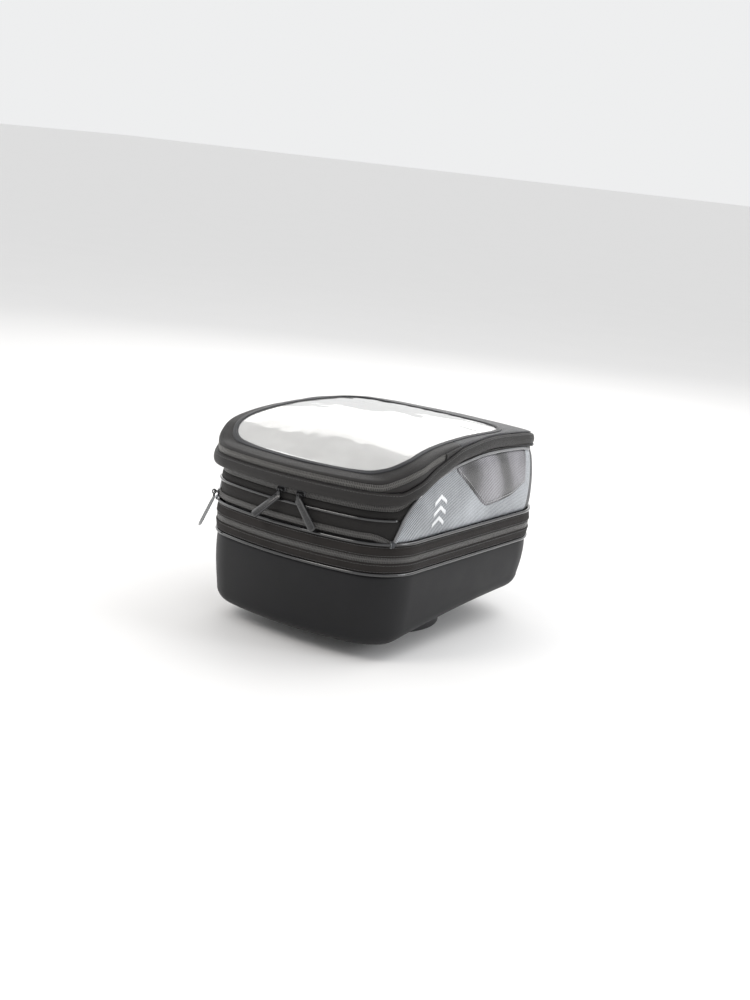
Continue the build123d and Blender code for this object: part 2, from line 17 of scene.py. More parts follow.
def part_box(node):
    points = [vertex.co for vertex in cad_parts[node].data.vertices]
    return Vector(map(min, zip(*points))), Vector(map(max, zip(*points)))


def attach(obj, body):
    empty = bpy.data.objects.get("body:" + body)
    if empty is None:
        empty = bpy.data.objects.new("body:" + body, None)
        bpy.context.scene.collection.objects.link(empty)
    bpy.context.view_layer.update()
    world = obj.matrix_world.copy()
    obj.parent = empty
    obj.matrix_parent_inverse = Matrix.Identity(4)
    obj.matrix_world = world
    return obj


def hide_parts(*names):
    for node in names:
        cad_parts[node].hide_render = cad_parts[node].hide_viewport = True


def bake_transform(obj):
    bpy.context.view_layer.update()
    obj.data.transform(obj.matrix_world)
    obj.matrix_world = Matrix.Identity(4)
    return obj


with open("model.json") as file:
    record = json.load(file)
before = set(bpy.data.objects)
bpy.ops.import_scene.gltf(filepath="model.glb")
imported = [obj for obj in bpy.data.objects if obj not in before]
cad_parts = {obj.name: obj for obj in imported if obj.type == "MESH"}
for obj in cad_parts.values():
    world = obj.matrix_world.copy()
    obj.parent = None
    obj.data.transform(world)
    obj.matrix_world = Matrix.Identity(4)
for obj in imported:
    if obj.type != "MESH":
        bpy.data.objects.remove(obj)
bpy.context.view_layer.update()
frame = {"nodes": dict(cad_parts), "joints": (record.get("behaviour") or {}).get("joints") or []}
MM = 0.001

# ---------------------------------------------------------------- driving dimensions


def levels(node):
    """The lowest and highest z of a CAD node, in mm."""
    low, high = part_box(node)
    return low.z / MM, high.z / MM


band_low, band_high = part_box("lower_band")
REAR_Y = band_low.y / MM
FRONT_Y = band_high.y / MM
REAR_HALF = 120.0
FRONT_HALF = 114.0
REAR_CORNER_R = 52.0
FRONT_CORNER_R = 60.0
REAR_BOW_R = 362.0
FRONT_BOW = 16.0
SHELL_LOW, SHELL_TOP = levels("base_shell")
PIPING_A = sum(levels("lower_piping")) / 2
PIPING_B = sum(levels("upper_piping")) / 2
EXPANSION_ZIP = (levels("expansion_zip_lower_chain")[1] + levels("expansion_zip_upper_chain")[0]) / 2
RISE_START = -125.0
FRONT_RISE = 19.0
BOSS_R = 77.0
BOSS_BLEND = 20.0
FLAP_LINE = -45.0
LID_BAND = 13.0
CROWN = 2.5
PIPING_R = 1.75
RIM = SHELL_TOP + 0.6
SHEET = 0.6
# Distances between a mesh's points, and the gap that merge() closes
OUTLINE_STEP = 0.5
STEP = 2.4
LID_STEP = 2.0
MERGE_GAP = 0.02


def through(points):
    """A smooth curve through the points: a function of the first coordinate, with no overshoot."""
    x, y = np.array(points, float).T
    step = np.diff(x)
    slope = np.diff(y) / step
    inner = np.where(
        slope[1:] * slope[:-1] > 0, 2 * slope[1:] * slope[:-1] / (slope[1:] + slope[:-1] + 1e-12), 0
    )
    tangent = np.concatenate([slope[:1], inner, slope[-1:]])

    def value(at):
        at = np.clip(np.asarray(at, float), x[0], x[-1])
        i = np.clip(np.searchsorted(x, at) - 1, 0, len(step) - 1)
        t = (at - x[i]) / step[i]
        return (
            (2 * t**3 - 3 * t**2 + 1) * y[i]
            + (t**3 - 2 * t**2 + t) * step[i] * tangent[i]
            + (3 * t**2 - 2 * t**3) * y[i + 1]
            + (t**3 - t**2) * step[i] * tangent[i + 1]
        )

    return value


# Seams seen from the side, as height over y
lid_low = through(
    [
        (-170, 163), (-139, 163), (-122, 170), (-99, 180), (-70, 190), (-38, 198.5), (20, 203), (90, 199.5),
        (120, 196.5), (170, 187)
    ]
)
map_zip = through(
    [(-170, 180), (-152, 180), (-138, 186.5), (-120, 194.8), (-99, 201.2), (-75, 205.8), (-45, 210)]
)
roof = through(
    [
        (-178, 185.5), (-152, 188), (-138, 194), (-120, 202.5), (-99, 209), (-75, 213), (-45, 215.6),
        (-5, 217.2), (60, 216.5), (120, 210.5), (170, 199.5)
    ]
)
# How far the lid overhangs the walls at the rear, and stands back from them at the front
lid_out = through([(-170, 8), (-120, 7), (-90, 5), (-45, 3.5), (0, 1.5), (60, -2), (120, -5), (170, -8)])


def lean(y, part):
    """The walls' lean inwards at the front, from none at their foot to as much as the lid stands back."""
    return np.minimum(lid_out(y), 0) * 0.9 * np.clip(part, 0, 1) ** 1.4


def with_lid(y, part):
    """The lid's overhang, from none where its band meets the zip."""
    return lid_out(y) * np.clip(part / 0.07, 0, 1)


# ---------------------------------------------------------------- the plan outline


def lengths(path):
    """Distance along a path to each of its points."""
    return np.concatenate([[0], np.cumsum(np.linalg.norm(np.diff(path, axis=0), axis=-1))])


def sample(at, gone, path):
    """The path's points, or its outward directions, at distances along it."""
    return np.stack([np.interp(at, gone, c) for c in path.T], -1)


def corner_centre(centre, radius, corner_r, front):
    """Centre of the corner arc that touches a bowed end of this centre and radius, and the right side."""
    rear_y = REAR_Y + REAR_BOW_R - math.sqrt(REAR_BOW_R**2 - REAR_HALF**2)
    a, b = np.array([REAR_HALF, rear_y]), np.array([FRONT_HALF, FRONT_Y - FRONT_BOW])
    along = (b - a) / np.linalg.norm(b - a)
    out = np.array([along[1], -along[0]])
    start = a - out * corner_r
    gap = start - centre
    half = math.sqrt((gap @ along) ** 2 - gap @ gap + (radius - corner_r) ** 2)
    return start + along * (-(gap @ along) + (half if front else -half)), out


def make_outline():
    """Dense points, outward normals and distances of the outline, from the rear's middle, anticlockwise."""
    front_r = (FRONT_HALF**2 + FRONT_BOW**2) / (2 * FRONT_BOW)
    rear_c, front_c = np.array([0, REAR_Y + REAR_BOW_R]), np.array([0, FRONT_Y - front_r])
    rear_corner, side_out = corner_centre(rear_c, REAR_BOW_R, REAR_CORNER_R, False)
    front_corner, _ = corner_centre(front_c, front_r, FRONT_CORNER_R, True)
    points, normals = [], []

    def arc(centre, radius, start, end):
        count = max(2, int(abs(end - start) * radius / OUTLINE_STEP))
        for t in np.linspace(start, end, count, endpoint=False):
            out = np.array([math.cos(t), math.sin(t)])
            points.append(centre + radius * out)
            normals.append(out)

    rear_turn = math.atan2(*(rear_corner - rear_c)[::-1])
    side_turn = math.atan2(side_out[1], side_out[0])
    front_turn = math.atan2(*(front_corner - front_c)[::-1])
    arc(rear_c, REAR_BOW_R, -math.pi / 2, rear_turn)
    arc(rear_corner, REAR_CORNER_R, rear_turn, side_turn)
    a, b = rear_corner + REAR_CORNER_R * side_out, front_corner + FRONT_CORNER_R * side_out
    for t in np.linspace(0, 1, int(np.linalg.norm(b - a) / OUTLINE_STEP), endpoint=False):
        points.append(a + (b - a) * t)
        normals.append(side_out)
    arc(front_corner, FRONT_CORNER_R, side_turn, front_turn)
    arc(front_c, front_r, front_turn, math.pi / 2)
    points.append(np.array([0, FRONT_Y]))
    normals.append(np.array([0, 1.0]))
    mirror = np.array([-1.0, 1.0])
    points = np.vstack([points, np.array(points[1:-1])[::-1] * mirror])
    normals = np.vstack([normals, np.array(normals[1:-1])[::-1] * mirror])
    gaps = np.linalg.norm(np.roll(points, -1, 0) - points, axis=1)
    return points, normals, np.concatenate([[0], np.cumsum(gaps)])


OUT_P, OUT_N, OUT_S = make_outline()
AROUND = OUT_S[-1]
HALF = AROUND / 2


def on_outline(s):
    """x, y and the outward normal's x, y at distances s along the outline."""
    s = np.mod(s, AROUND)
    columns = [np.append(c, c[0]) for c in (*OUT_P.T, *OUT_N.T)]
    x, y, nx, ny = (np.interp(s, OUT_S, c) for c in columns)
    size = np.hypot(nx, ny)
    return x, y, nx / size, ny / size


def place(s, inset, z):
    """Points in mm, from distance along the outline, inset and height."""
    x, y, nx, ny = on_outline(s)
    s, inset, z = np.broadcast_arrays(s, inset, z)
    return np.stack([x - nx * inset, y - ny * inset, z + 0.0 * x], -1)


def y_at(s):
    return on_outline(s)[1]


def s_at(y):
    """Distance along the right side to where the outline is at y."""
    first_half = OUT_S[: len(OUT_P)] <= HALF
    return float(np.interp(y, OUT_P[first_half, 1], OUT_S[: len(OUT_P)][first_half]))


# ---------------------------------------------------------------- mesh making


def soft_noise(s, t, size, seed):
    """Smooth unevenness from -1 to 1 that repeats around the bag: a few seeded waves."""
    rng = np.random.default_rng(seed)
    total = 0
    for _ in range(7):
        turns = rng.integers(2, max(3, int(AROUND / size)))
        total = total + rng.uniform(0.4, 1) * np.sin(
            2 * math.pi * turns * s / AROUND + rng.uniform(-1, 1) * 2 * math.pi * t / size + rng.uniform(
                0, 6.28
            )
        )
    return total / 3.5


def new_object(name, points, faces, material, uv=None):
    """A mesh object from points in mm, with its weave's UV map in metres."""
    mesh = bpy.data.meshes.new(name)
    points = np.asarray(points, float) * MM
    mesh.from_pydata(points.tolist(), [], [list(map(int, f)) for f in faces])
    if uv is not None:
        layer = mesh.uv_layers.new(name="weave")
        loops = np.zeros(len(mesh.loops), int)
        mesh.loops.foreach_get("vertex_index", loops)
        layer.data.foreach_set("uv", (np.asarray(uv)[loops] * MM).ravel())
    mesh.polygons.foreach_set("use_smooth", [True] * len(mesh.polygons))
    mesh.materials.append(material)
    mesh.update()
    piece = bpy.data.objects.new(name, mesh)
    bpy.context.scene.collection.objects.link(piece)
    return piece


def grid_faces(rows, columns, wrap_rows=False, wrap_columns=False, flip=False):
    """Quads of a grid of points stored row by row."""
    r = np.arange(rows if wrap_rows else rows - 1)
    c = np.arange(columns if wrap_columns else columns - 1)
    r, c = np.meshgrid(r, c, indexing="ij")
    r1, c1 = (r + 1) % rows, (c + 1) % columns
    quads = np.stack(
        [r * columns + c, r * columns + c1, r1 * columns + c1, r1 * columns + c], -1
    ).reshape(-1, 4)
    return quads[:, ::-1] if flip else quads


def shell(name, points, thickness, material, closed=False, inside=None):
    """A cloth wall from a grid of outer points, given a thickness inwards and closed at its edges.

    points is columns x rows x 3: columns run along the bag, rows upwards.
    """
    n, m = points.shape[:2]
    along = np.roll(points, -1, 0) - np.roll(points, 1, 0)
    if not closed:
        along[0], along[-1] = points[1] - points[0], points[-1] - points[-2]
    up = np.gradient(points, axis=1)
    normal = np.cross(along, up)
    normal /= np.linalg.norm(normal, axis=-1, keepdims=True) + 1e-9
    inner = points - normal * thickness
    loop = np.concatenate([points, inner[:, ::-1]], axis=1)
    faces = grid_faces(n, 2 * m, wrap_rows=closed, wrap_columns=True, flip=True)
    if not closed:
        caps = []
        for base in (0, (n - 1) * 2 * m):
            for k in range(m - 1):
                quad = [base + k, base + k + 1, base + 2 * m - 2 - k, base + 2 * m - 1 - k]
                caps.append(quad if base == 0 else quad[::-1])
        faces = list(map(list, faces)) + caps
    u = lengths(points[:, m // 2])
    v = np.cumsum(
        np.linalg.norm(np.diff(points, axis=1, prepend=points[:, :1]), axis=-1), axis=1
    ) + points[:, :1, 2]
    v = np.concatenate([v, v[:, ::-1]], axis=1)
    uv = np.stack([np.broadcast_to(u[:, None], v.shape), v], -1).reshape(-1, 2)
    piece = new_object(name, loop.reshape(-1, 3), faces, material, uv)
    if inside:
        piece.data.materials.append(inside)
        count = (n if closed else n - 1) * 2 * m
        slots = np.zeros(len(piece.data.polygons), int)
        slots[:count] = np.tile((np.arange(2 * m) >= m) & (np.arange(2 * m) < 2 * m - 1), count // (2 * m))
        piece.data.polygons.foreach_set("material_index", slots)
    return piece


def stations(start, end, step):
    count = max(3, int(round((end - start) / step)) + 1)
    return np.linspace(start, end, count)


def around(step=STEP):
    return np.linspace(0, AROUND, int(AROUND / step), endpoint=False)


def height_at(seam, y):
    """A seam's height at each y; a level seam is just a number."""
    return seam(y) if callable(seam) else seam + 0 * y


def wall(
    name, run, low, high, profile, thickness, material, seed=1, uneven=0.25, step=STEP, inside=None,
    out=None, lift=None
):
    """A cloth wall between two seams. run is (start, end) or None for the whole way round.

    profile is a list of (inset, part of the height). out moves it outwards by y and part of the height,
    and lift by distance along the outline and height.
    """
    s = around(step) if run is None else stations(*run, step)
    y = y_at(s)
    z_low, z_high = height_at(low, y), height_at(high, y)
    inset, part = smooth_profile(profile)
    middle = np.sin(np.clip(part, 0, 1) * math.pi)
    wobble = uneven * soft_noise(s[:, None], part[None, :] * 20, 60, seed) * middle[None, :]
    z = z_low[:, None] + (z_high - z_low)[:, None] * part[None, :]
    if lift is not None:
        wobble = wobble + lift(s[:, None], z)
    if out is not None:
        wobble = wobble - out(y[:, None], part[None, :])
    return shell(
        name, place(s[:, None], inset[None, :] + wobble, z), thickness, material, run is None, inside
    )


def smooth_profile(profile, per=4):
    """A profile's corner points as a smooth line, a few points to each stretch."""
    p = np.array(profile, float)
    padded = np.vstack([2 * p[0] - p[1], p, 2 * p[-1] - p[-2]])
    out = []
    for i in range(1, len(padded) - 2):
        a, b, c, d = padded[i - 1 : i + 3]
        for t in np.linspace(0, 1, per, endpoint=False):
            out.append(
                0.5 * (
                    2 * b + (c - a) * t + (
                        2 * a - 5 * b + 4 * c - d
                    ) * t**2 + (3 * b - a - 3 * c + d) * t**3
                )
            )
    out.append(p[-1])
    return np.array(out).T


def frames_along(path, out, closed):
    """Unit tangents, outward and upward directions along a path."""
    tangent = np.roll(path, -1, 0) - np.roll(path, 1, 0)
    if not closed:
        tangent[0], tangent[-1] = path[1] - path[0], path[-1] - path[-2]
    tangent /= np.linalg.norm(tangent, axis=1, keepdims=True)
    out = out - tangent * (out * tangent).sum(1, keepdims=True)
    out /= np.linalg.norm(out, axis=1, keepdims=True)
    return tangent, out, np.cross(out, tangent) * -1


def tube(name, path, out, radius, material, closed=False, sides=12):
    """A round piping along a path; out is the outward direction at each point."""
    _, out, up = frames_along(path, out, closed)
    turns = np.linspace(0, 2 * math.pi, sides, endpoint=False)
    ring = out[:, None] * np.cos(turns)[None, :, None] + up[:, None] * np.sin(turns)[None, :, None]
    radii = np.full(len(path), float(radius))
    if not closed:
        ends = np.minimum(np.arange(len(path)), np.arange(len(path))[::-1])
        radii = radius * np.sqrt(np.clip(1 - (1 - np.clip(ends / 2, 0, 1)) ** 2, 0.02, 1))
    points = path[:, None] + ring * radii[:, None, None]
    faces = list(grid_faces(len(path), sides, wrap_rows=closed, wrap_columns=True))
    if not closed:
        faces += [list(range(sides)), [(len(path) - 1) * sides + k for k in range(sides)][::-1]]
    return new_object(name, points.reshape(-1, 3), faces, material)


def path_on(s, inset, z):
    """A path on the bag's side, with its outward directions."""
    _, _, nx, ny = on_outline(s)
    return place(s, inset, z), np.stack([nx, ny, 0 * nx], -1)


def resample(path, out, pitch, closed=False):
    """Points each a pitch apart along a path, with outward directions and tangents."""
    if closed:
        path, out = np.vstack([path, path[:1]]), np.vstack([out, out[:1]])
    gone = lengths(path)
    count = max(2, int(gone[-1] / pitch))
    at = (np.arange(count) + 0.5) * gone[-1] / count
    pick = sample(at, gone, path)
    ahead = sample(at + 0.2, gone, path)
    back = sample(at - 0.2, gone, path)
    out = sample(at, gone, out)
    tangent = ahead - back
    tangent /= np.linalg.norm(tangent, axis=1, keepdims=True)
    out -= tangent * (out * tangent).sum(1, keepdims=True)
    out /= np.linalg.norm(out, axis=1, keepdims=True)
    return pick, tangent, out, np.cross(tangent, out)


def capsule(sides=6):
    """A unit capsule along x: radius 1, half-length 1 before its round ends.

    Returns points, as (end, cap, y, z), and faces.
    """
    rings = [(-1, 0.75, -0.55), (-1, 1.0, 0.0), (1, 1.0, 0.0), (1, 0.75, 0.55)]
    points, faces = [], []
    turns = np.linspace(0, 2 * math.pi, sides, endpoint=False)
    for side, radius, cap in rings:
        for t in turns:
            points.append((side, cap, radius * math.cos(t), radius * math.sin(t)))
    first, last = len(points), len(points) + 1
    points += [(-1, -0.9, 0, 0), (1, 0.9, 0, 0)]
    faces += [list(q) for q in grid_faces(4, sides, wrap_columns=True)]
    for k in range(sides):
        faces.append([first, (k + 1) % sides, k])
        faces.append([last, 3 * sides + k, 3 * sides + (k + 1) % sides])
    return np.array(points), faces


def many_capsules(name, centres, axis, side, third, half, radius, material, squash=1.0):
    """Many small rounded rods in one mesh, each along its own axis."""
    shape, faces = capsule()
    along = shape[:, 0] * half + shape[:, 1] * radius
    points = (
        centres[:, None]
        + axis[:, None] * along[None, :, None]
        + side[:, None] * (shape[:, 2] * radius)[None, :, None]
        + third[:, None] * (shape[:, 3] * radius * squash)[None, :, None]
    )
    count = len(shape)
    every = [[k + i * count for k in f] for i in range(len(centres)) for f in faces]
    return new_object(name, points.reshape(-1, 3), every, material)


def stitches(name, path, out, material, pitch=3.2, closed=False, radius=0.32, lift=0.1):
    """A row of thread stitches lying on the cloth."""
    centre, tangent, out, up = resample(path, out, pitch, closed)
    return many_capsules(
        name, centre + out * lift, tangent, up, out, pitch * 0.33, radius, material, squash=0.8
    )


def coil(name, path, out, material, side, closed=False, pitch=1.7):
    """Half a coil zip: rounded teeth on one side of the path. side is 1 for above, -1 for below."""
    centre, tangent, out, up = resample(path, out, pitch, closed)
    if side < 0:
        centre = centre + tangent * pitch / 2
    up = up * np.sign(up[:, 2:3] + 1e-9)
    centre = centre + up * side * 1.25 + out * 0.15
    return many_capsules(name, centre, up, tangent, out, 1.35, 0.62, material, squash=1.15)


def join(name, *pieces):
    """Several objects as one piece that keeps their materials."""
    pieces = [p for p in pieces if p]
    with bpy.context.temp_override(
        active_object=pieces[0], selected_editable_objects=pieces, selected_objects=pieces
    ):
        bpy.ops.object.join()
    pieces[0].name = name
    return pieces[0]


def merge(piece):
    """Joins the points that meet where a surface closes on itself."""
    mesh = bmesh.new()
    mesh.from_mesh(piece.data)
    bmesh.ops.remove_doubles(mesh, verts=mesh.verts, dist=MERGE_GAP * MM)
    mesh.to_mesh(piece.data)
    mesh.free()
    piece.data.update()
    return piece


def closed_rows(name, rows, material, inside=None, inside_from=None):
    """A surface from rows of points that each go the whole way round, closed in the middle at both ends."""
    points = np.stack(rows, 1)
    n, m = points.shape[:2]
    faces = grid_faces(n, m, wrap_rows=True, flip=True)
    u = lengths(points[:, m // 3])
    v = lengths(points[n // 4])
    uv = np.stack(np.meshgrid(u, v, indexing="ij"), -1).reshape(-1, 2)
    piece = new_object(name, points.reshape(-1, 3), faces, material, uv)
    if inside:
        piece.data.materials.append(inside)
        slots = np.tile(np.arange(m - 1) >= inside_from, n)
        piece.data.polygons.foreach_set("material_index", slots.astype(int))
    return merge(piece)


def to_spine(edge, spine, t, height):
    """A ring of points moved the part t of the way to the bag's middle line, at the height of a surface."""
    target = np.stack([0 * edge[:, 0], np.clip(edge[:, 1], *spine)], -1)
    xy = edge[:, :2] + (target - edge[:, :2]) * t
    return np.concatenate([xy, height(xy[:, 0], xy[:, 1])[:, None]], 1)


def plate(name, edge, spine, height, thickness, material, rows=14, under=None):
    """A closed sheet or board inside a ring of edge points; its top follows height(x, y)."""
    steps = np.linspace(0, 1, rows) ** 1.3
    top = [to_spine(edge, spine, t, height) for t in steps]
    low = [row - np.array([0, 0, thickness]) for row in top[::-1]]
    return closed_rows(name, low + top, under or material, material, len(low))


# ---------------------------------------------------------------- materials


class Nodes:
    """A material's nodes, made one at a time."""

    def __init__(self, name):
        self.material = bpy.data.materials.new(name)
        self.material.use_nodes = True
        self.tree = self.material.node_tree
        self.shader = self.tree.nodes["Principled BSDF"]

    def add(self, kind, inputs=(), **settings):
        node = self.tree.nodes.new(kind)
        for key, value in settings.items():
            setattr(node, key, value)
        for key, value in dict(inputs).items():
            self.put(node.inputs[key], value)
        return node

    def put(self, socket, value):
        if isinstance(value, bpy.types.NodeSocket):
            self.tree.links.new(value, socket)
        else:
            socket.default_value = value

    def math(self, operation, *values):
        node = self.add("ShaderNodeMath", operation=operation)
        for socket, value in zip(node.inputs, values):
            self.put(socket, value)
        return node.outputs[0]

    def ramp(self, factor, *stops):
        node = self.add("ShaderNodeValToRGB", {"Fac": factor})
        band = node.color_ramp
        while len(band.elements) < len(stops):
            band.elements.new(0.5)
        for element, (place_at, colour) in zip(band.elements, stops):
            element.position = place_at
            element.color = (*colour, 1)
        return node.outputs["Color"]

    def noise(self, scale, detail=3.0):
        node = self.add("ShaderNodeTexNoise", {"Scale": scale, "Detail": detail})
        self.put(node.inputs["Vector"], self.add("ShaderNodeTexCoord").outputs["Object"])
        return node.outputs["Fac"]

    def uv(self):
        return self.add(
            "ShaderNodeSeparateXYZ", {"Vector": self.add("ShaderNodeUVMap", uv_map="weave").outputs[0]}
        ).outputs

    def bump(self, height, strength, distance):
        node = self.add("ShaderNodeBump", {"Height": height, "Strength": strength, "Distance": distance})
        self.put(self.shader.inputs["Normal"], node.outputs[0])

    def finish(self, **inputs):
        for key, value in inputs.items():
            self.put(self.shader.inputs[key.replace("_", " ")], value)
        return self.material


def tint(colour, factor):
    return tuple(c * factor for c in colour)


def woven(
    name, colour, pitch=0.9, slant=0.0, contrast=0.35, roughness=0.75, sheen=0.25, depth=0.00012, coat=0.0,
    glint=None, specular=0.18, clouds=0.0, reflection_bands=0.0
):
    """Woven cloth. pitch is the thread's width in mm; slant 1 makes a twill instead of a plain weave."""
    n = Nodes(name)
    u, v, _ = n.uv()
    turns = math.pi / (pitch * MM)
    across, along = n.math("MULTIPLY", u, turns), n.math("MULTIPLY", v, turns)
    warp = n.math("ABSOLUTE", n.math("SINE", across))
    weft = n.math("ABSOLUTE", n.math("SINE", along))
    if slant:
        phase = n.math("ADD", n.math("MULTIPLY", across, 0.5 * slant), n.math("MULTIPLY", along, 0.5))
        over = n.math(
            "SMOOTH_MIN", n.math("MAXIMUM", n.math("MULTIPLY_ADD", n.math("SINE", phase), 2.2, 0.5), 0.0),
            1.0, 0.15
        )
    else:
        check = n.math("MULTIPLY", n.math("SINE", across), n.math("SINE", along))
        over = n.math("MULTIPLY_ADD", n.math("SIGN", check), 0.5, 0.5)
    under = n.math("SUBTRACT", 1.0, over)
    height = n.math("ADD", n.math("MULTIPLY", warp, over), n.math("MULTIPLY", weft, under))
    patches = n.noise(55.0, 4.0)
    fuzz = n.noise(2600.0, 2.0)
    shade = n.math("MULTIPLY_ADD", patches, 0.5, n.math("MULTIPLY", height, 0.35))
    shade = n.math("MULTIPLY_ADD", fuzz, 0.25, shade)
    if glint:
        shade = n.math("MULTIPLY_ADD", over, 0.5, n.math("MULTIPLY", shade, 0.55))
    if clouds:
        shade = n.math("MULTIPLY_ADD", n.noise(clouds, 1.5), 0.9, n.math("SUBTRACT", shade, 0.45))
    # Painted reflection: soft light and dark bands that wander across the cloth, standing in for its glossy
    # face mirroring the surroundings.
    if reflection_bands:
        reflection_phase = n.math(
            "MULTIPLY_ADD", n.noise(9.0, 1.0), 9.0,
            n.math("MULTIPLY", n.math("MULTIPLY_ADD", v, 0.35, u), 2 * math.pi * reflection_bands)
        )
        shade = n.math("MULTIPLY_ADD", n.math("SINE", reflection_phase), 0.3, n.math("SUBTRACT", shade, 0.08))
    top = glint or tint(colour, 1 + contrast)
    colours = n.ramp(shade, (0.22, tint(colour, 1 - contrast)), (0.5, colour), (0.85, top))
    n.bump(n.math("MULTIPLY_ADD", fuzz, 0.3, height), 0.7, depth)
    rough = n.math("MULTIPLY_ADD", patches, 0.18, roughness - 0.09)
    return n.finish(
        Base_Color=colours, Roughness=rough, Sheen_Weight=sheen, Sheen_Roughness=0.45,
        Specular_IOR_Level=specular, Coat_Weight=coat, Coat_Roughness=0.22
    )


def moulded(
    name, colour, roughness=0.5, grain=1500.0, depth=0.00006, coat=0.0, sheen=0.0, wear=0.12, metallic=0.0,
    specular=0.5
):
    """Moulded plastic, rubber or painted metal with a fine grain and slight colour changes."""
    n = Nodes(name)
    patches, fine = n.noise(40.0, 4.0), n.noise(grain, 2.0)
    shade = n.math("MULTIPLY_ADD", fine, 0.3, n.math("MULTIPLY", patches, 0.7))
    colours = n.ramp(shade, (0.3, tint(colour, 1 - wear)), (0.7, tint(colour, 1 + wear)))
    n.bump(fine, 0.5, depth)
    rough = n.math("MULTIPLY_ADD", patches, 0.14, roughness - 0.07)
    return n.finish(
        Base_Color=colours, Roughness=rough, Coat_Weight=coat, Coat_Roughness=0.12, Sheen_Weight=sheen,
        Metallic=metallic, Specular_IOR_Level=specular
    )


def clear_sheet(name):
    """Clear flexible PVC: slightly milky, with soft ripples; its near-white colour is partly a painted
    reflection of the bright surroundings.
    """
    n = Nodes(name)
    ripples = n.noise(22.0, 1.5)
    n.bump(ripples, 0.5, 0.0022)
    # Partly milkiness, partly painted reflection: the pale base colour stands in for bright glare off the
    # sheet.
    haze_and_reflection = n.ramp(n.noise(25.0, 2.0), (0.3, (0.84, 0.835, 0.82)), (0.7, (0.95, 0.945, 0.93)))
    return n.finish(
        Base_Color=haze_and_reflection, Roughness=0.05, IOR=1.55, Transmission_Weight=0.55, Coat_Weight=1.0,
        Coat_Roughness=0.02
    )


EVA = moulded("moulded_eva", (0.0055, 0.0055, 0.0065), 0.5, 2200.0, 0.00005, wear=0.25, specular=0.28)
GLOSS = moulded("glossy_piping", (0.010, 0.010, 0.011), 0.14, 900.0, 0.00002, coat=0.8)
SILVER = moulded("silver_piping", (0.17, 0.172, 0.178), 0.22, 1200.0, 0.00003, coat=0.7, metallic=0.35)
BAND = woven("band_cloth", (0.019, 0.0168, 0.0158), 0.5, contrast=0.6, sheen=0.06, specular=0.12)
POCKET = woven("pocket_cloth", (0.014, 0.013, 0.0125), 0.5, contrast=0.5, sheen=0.08, specular=0.2)
LID = woven(
    "lid_cloth", (0.015, 0.0138, 0.0133), 0.45, contrast=0.5, roughness=0.5, sheen=0.07, depth=0.00006,
    specular=0.25
)
TOP = woven(
    "top_cloth", (0.021, 0.0215, 0.0245), 0.5, contrast=0.4, roughness=0.5, sheen=0.2, depth=0.00008,
    specular=0.25
)
TAPE = woven("zip_tape", (0.010, 0.0096, 0.0094), 0.5, slant=1.0, contrast=0.4, roughness=0.65, sheen=0.05)
# Painted highlight: the teeth are a grey lighter than their dark nylon, and the map zip's teeth lighter
# still.
TEETH = moulded("zip_teeth", (0.075, 0.072, 0.069), 0.24, 3000.0, 0.00001, coat=0.4)
BRIGHT_TEETH = moulded("map_zip_teeth", (0.11, 0.106, 0.1), 0.25, 3000.0, 0.00001, coat=0.3)
WEAVE = woven(
    "silver_weave", (0.27, 0.285, 0.30), 0.62, slant=1.0, contrast=0.75, roughness=0.36, sheen=0.0,
    depth=0.00012, coat=0.35, glint=(0.60, 0.625, 0.66), clouds=9.0
)
# The insert's light and dark bands are a painted reflection.
CARBON = woven(
    "dark_carbon", (0.026, 0.025, 0.027), 0.72, slant=1.0, contrast=0.8, roughness=0.22, sheen=0.0,
    depth=0.00016, coat=0.9, glint=(0.34, 0.33, 0.36), reflection_bands=13.0
)
LINING = woven("lining", (0.05, 0.052, 0.057), 0.45, contrast=0.2, roughness=0.6, sheen=0.1, depth=0.00005)
WEBBING = woven("webbing", (0.016, 0.016, 0.0175), 1.3, contrast=0.45, roughness=0.7, depth=0.0003)
THREAD = moulded("thread", (0.028, 0.027, 0.026), 0.6, 4000.0, 0.00001, sheen=0.3)
PALE_THREAD = moulded("pale_thread", (0.34, 0.34, 0.34), 0.6, 4000.0, 0.00001, sheen=0.3)
PVC = clear_sheet("clear_pvc_sheet")
ENAMEL = moulded("black_enamel", (0.03, 0.03, 0.032), 0.28, 600.0, 0.00001, coat=0.4, metallic=0.6)
PULL = moulded("pull_grip", (0.014, 0.014, 0.015), 0.35, 1500.0, 0.00006, coat=0.3)
PULL_EDGE = moulded("pull_edge", (0.045, 0.045, 0.047), 0.3, 1500.0, 0.00003, coat=0.4)
PALE_EDGE = moulded("pale_pull_edge", (0.30, 0.305, 0.31), 0.35, 1500.0, 0.00003, coat=0.2)
WHITE = moulded("white_print", (0.78, 0.79, 0.8), 0.45, 2000.0, 0.00001)
NYLON = moulded("lock_nylon", (0.022, 0.022, 0.024), 0.48, 1400.0, 0.00008)
RED = moulded("red_acetal", (0.42, 0.028, 0.022), 0.34, 1800.0, 0.00003, coat=0.2)
STEEL = moulded("zinc_steel", (0.55, 0.55, 0.56), 0.3, 900.0, 0.00003, metallic=1.0)
SPRING = moulded("spring_wire", (0.48, 0.47, 0.45), 0.25, 2500.0, 0.00003, metallic=1.0)
BOARD = moulded("stiffener_board", (0.07, 0.07, 0.075), 0.6, 500.0, 0.0001)

# ---------------------------------------------------------------- base


def base_rise(y):
    """How far the tub's underside rises towards the front."""
    gone = np.clip((np.asarray(y, float) - RISE_START) / (FRONT_Y + 5 - RISE_START), 0, 1)
    return FRONT_RISE * (1 - (1 - gone) ** 2)


def underside(lift):
    """The tub's bottom: level over the lock, and blended into the rise outside it."""

    def height(x, y):
        part = np.clip((np.hypot(x, y) - BOSS_R) / BOSS_BLEND, 0, 1)
        return SHELL_LOW + lift + base_rise(y) * part**2 * (3 - 2 * part)

    return height


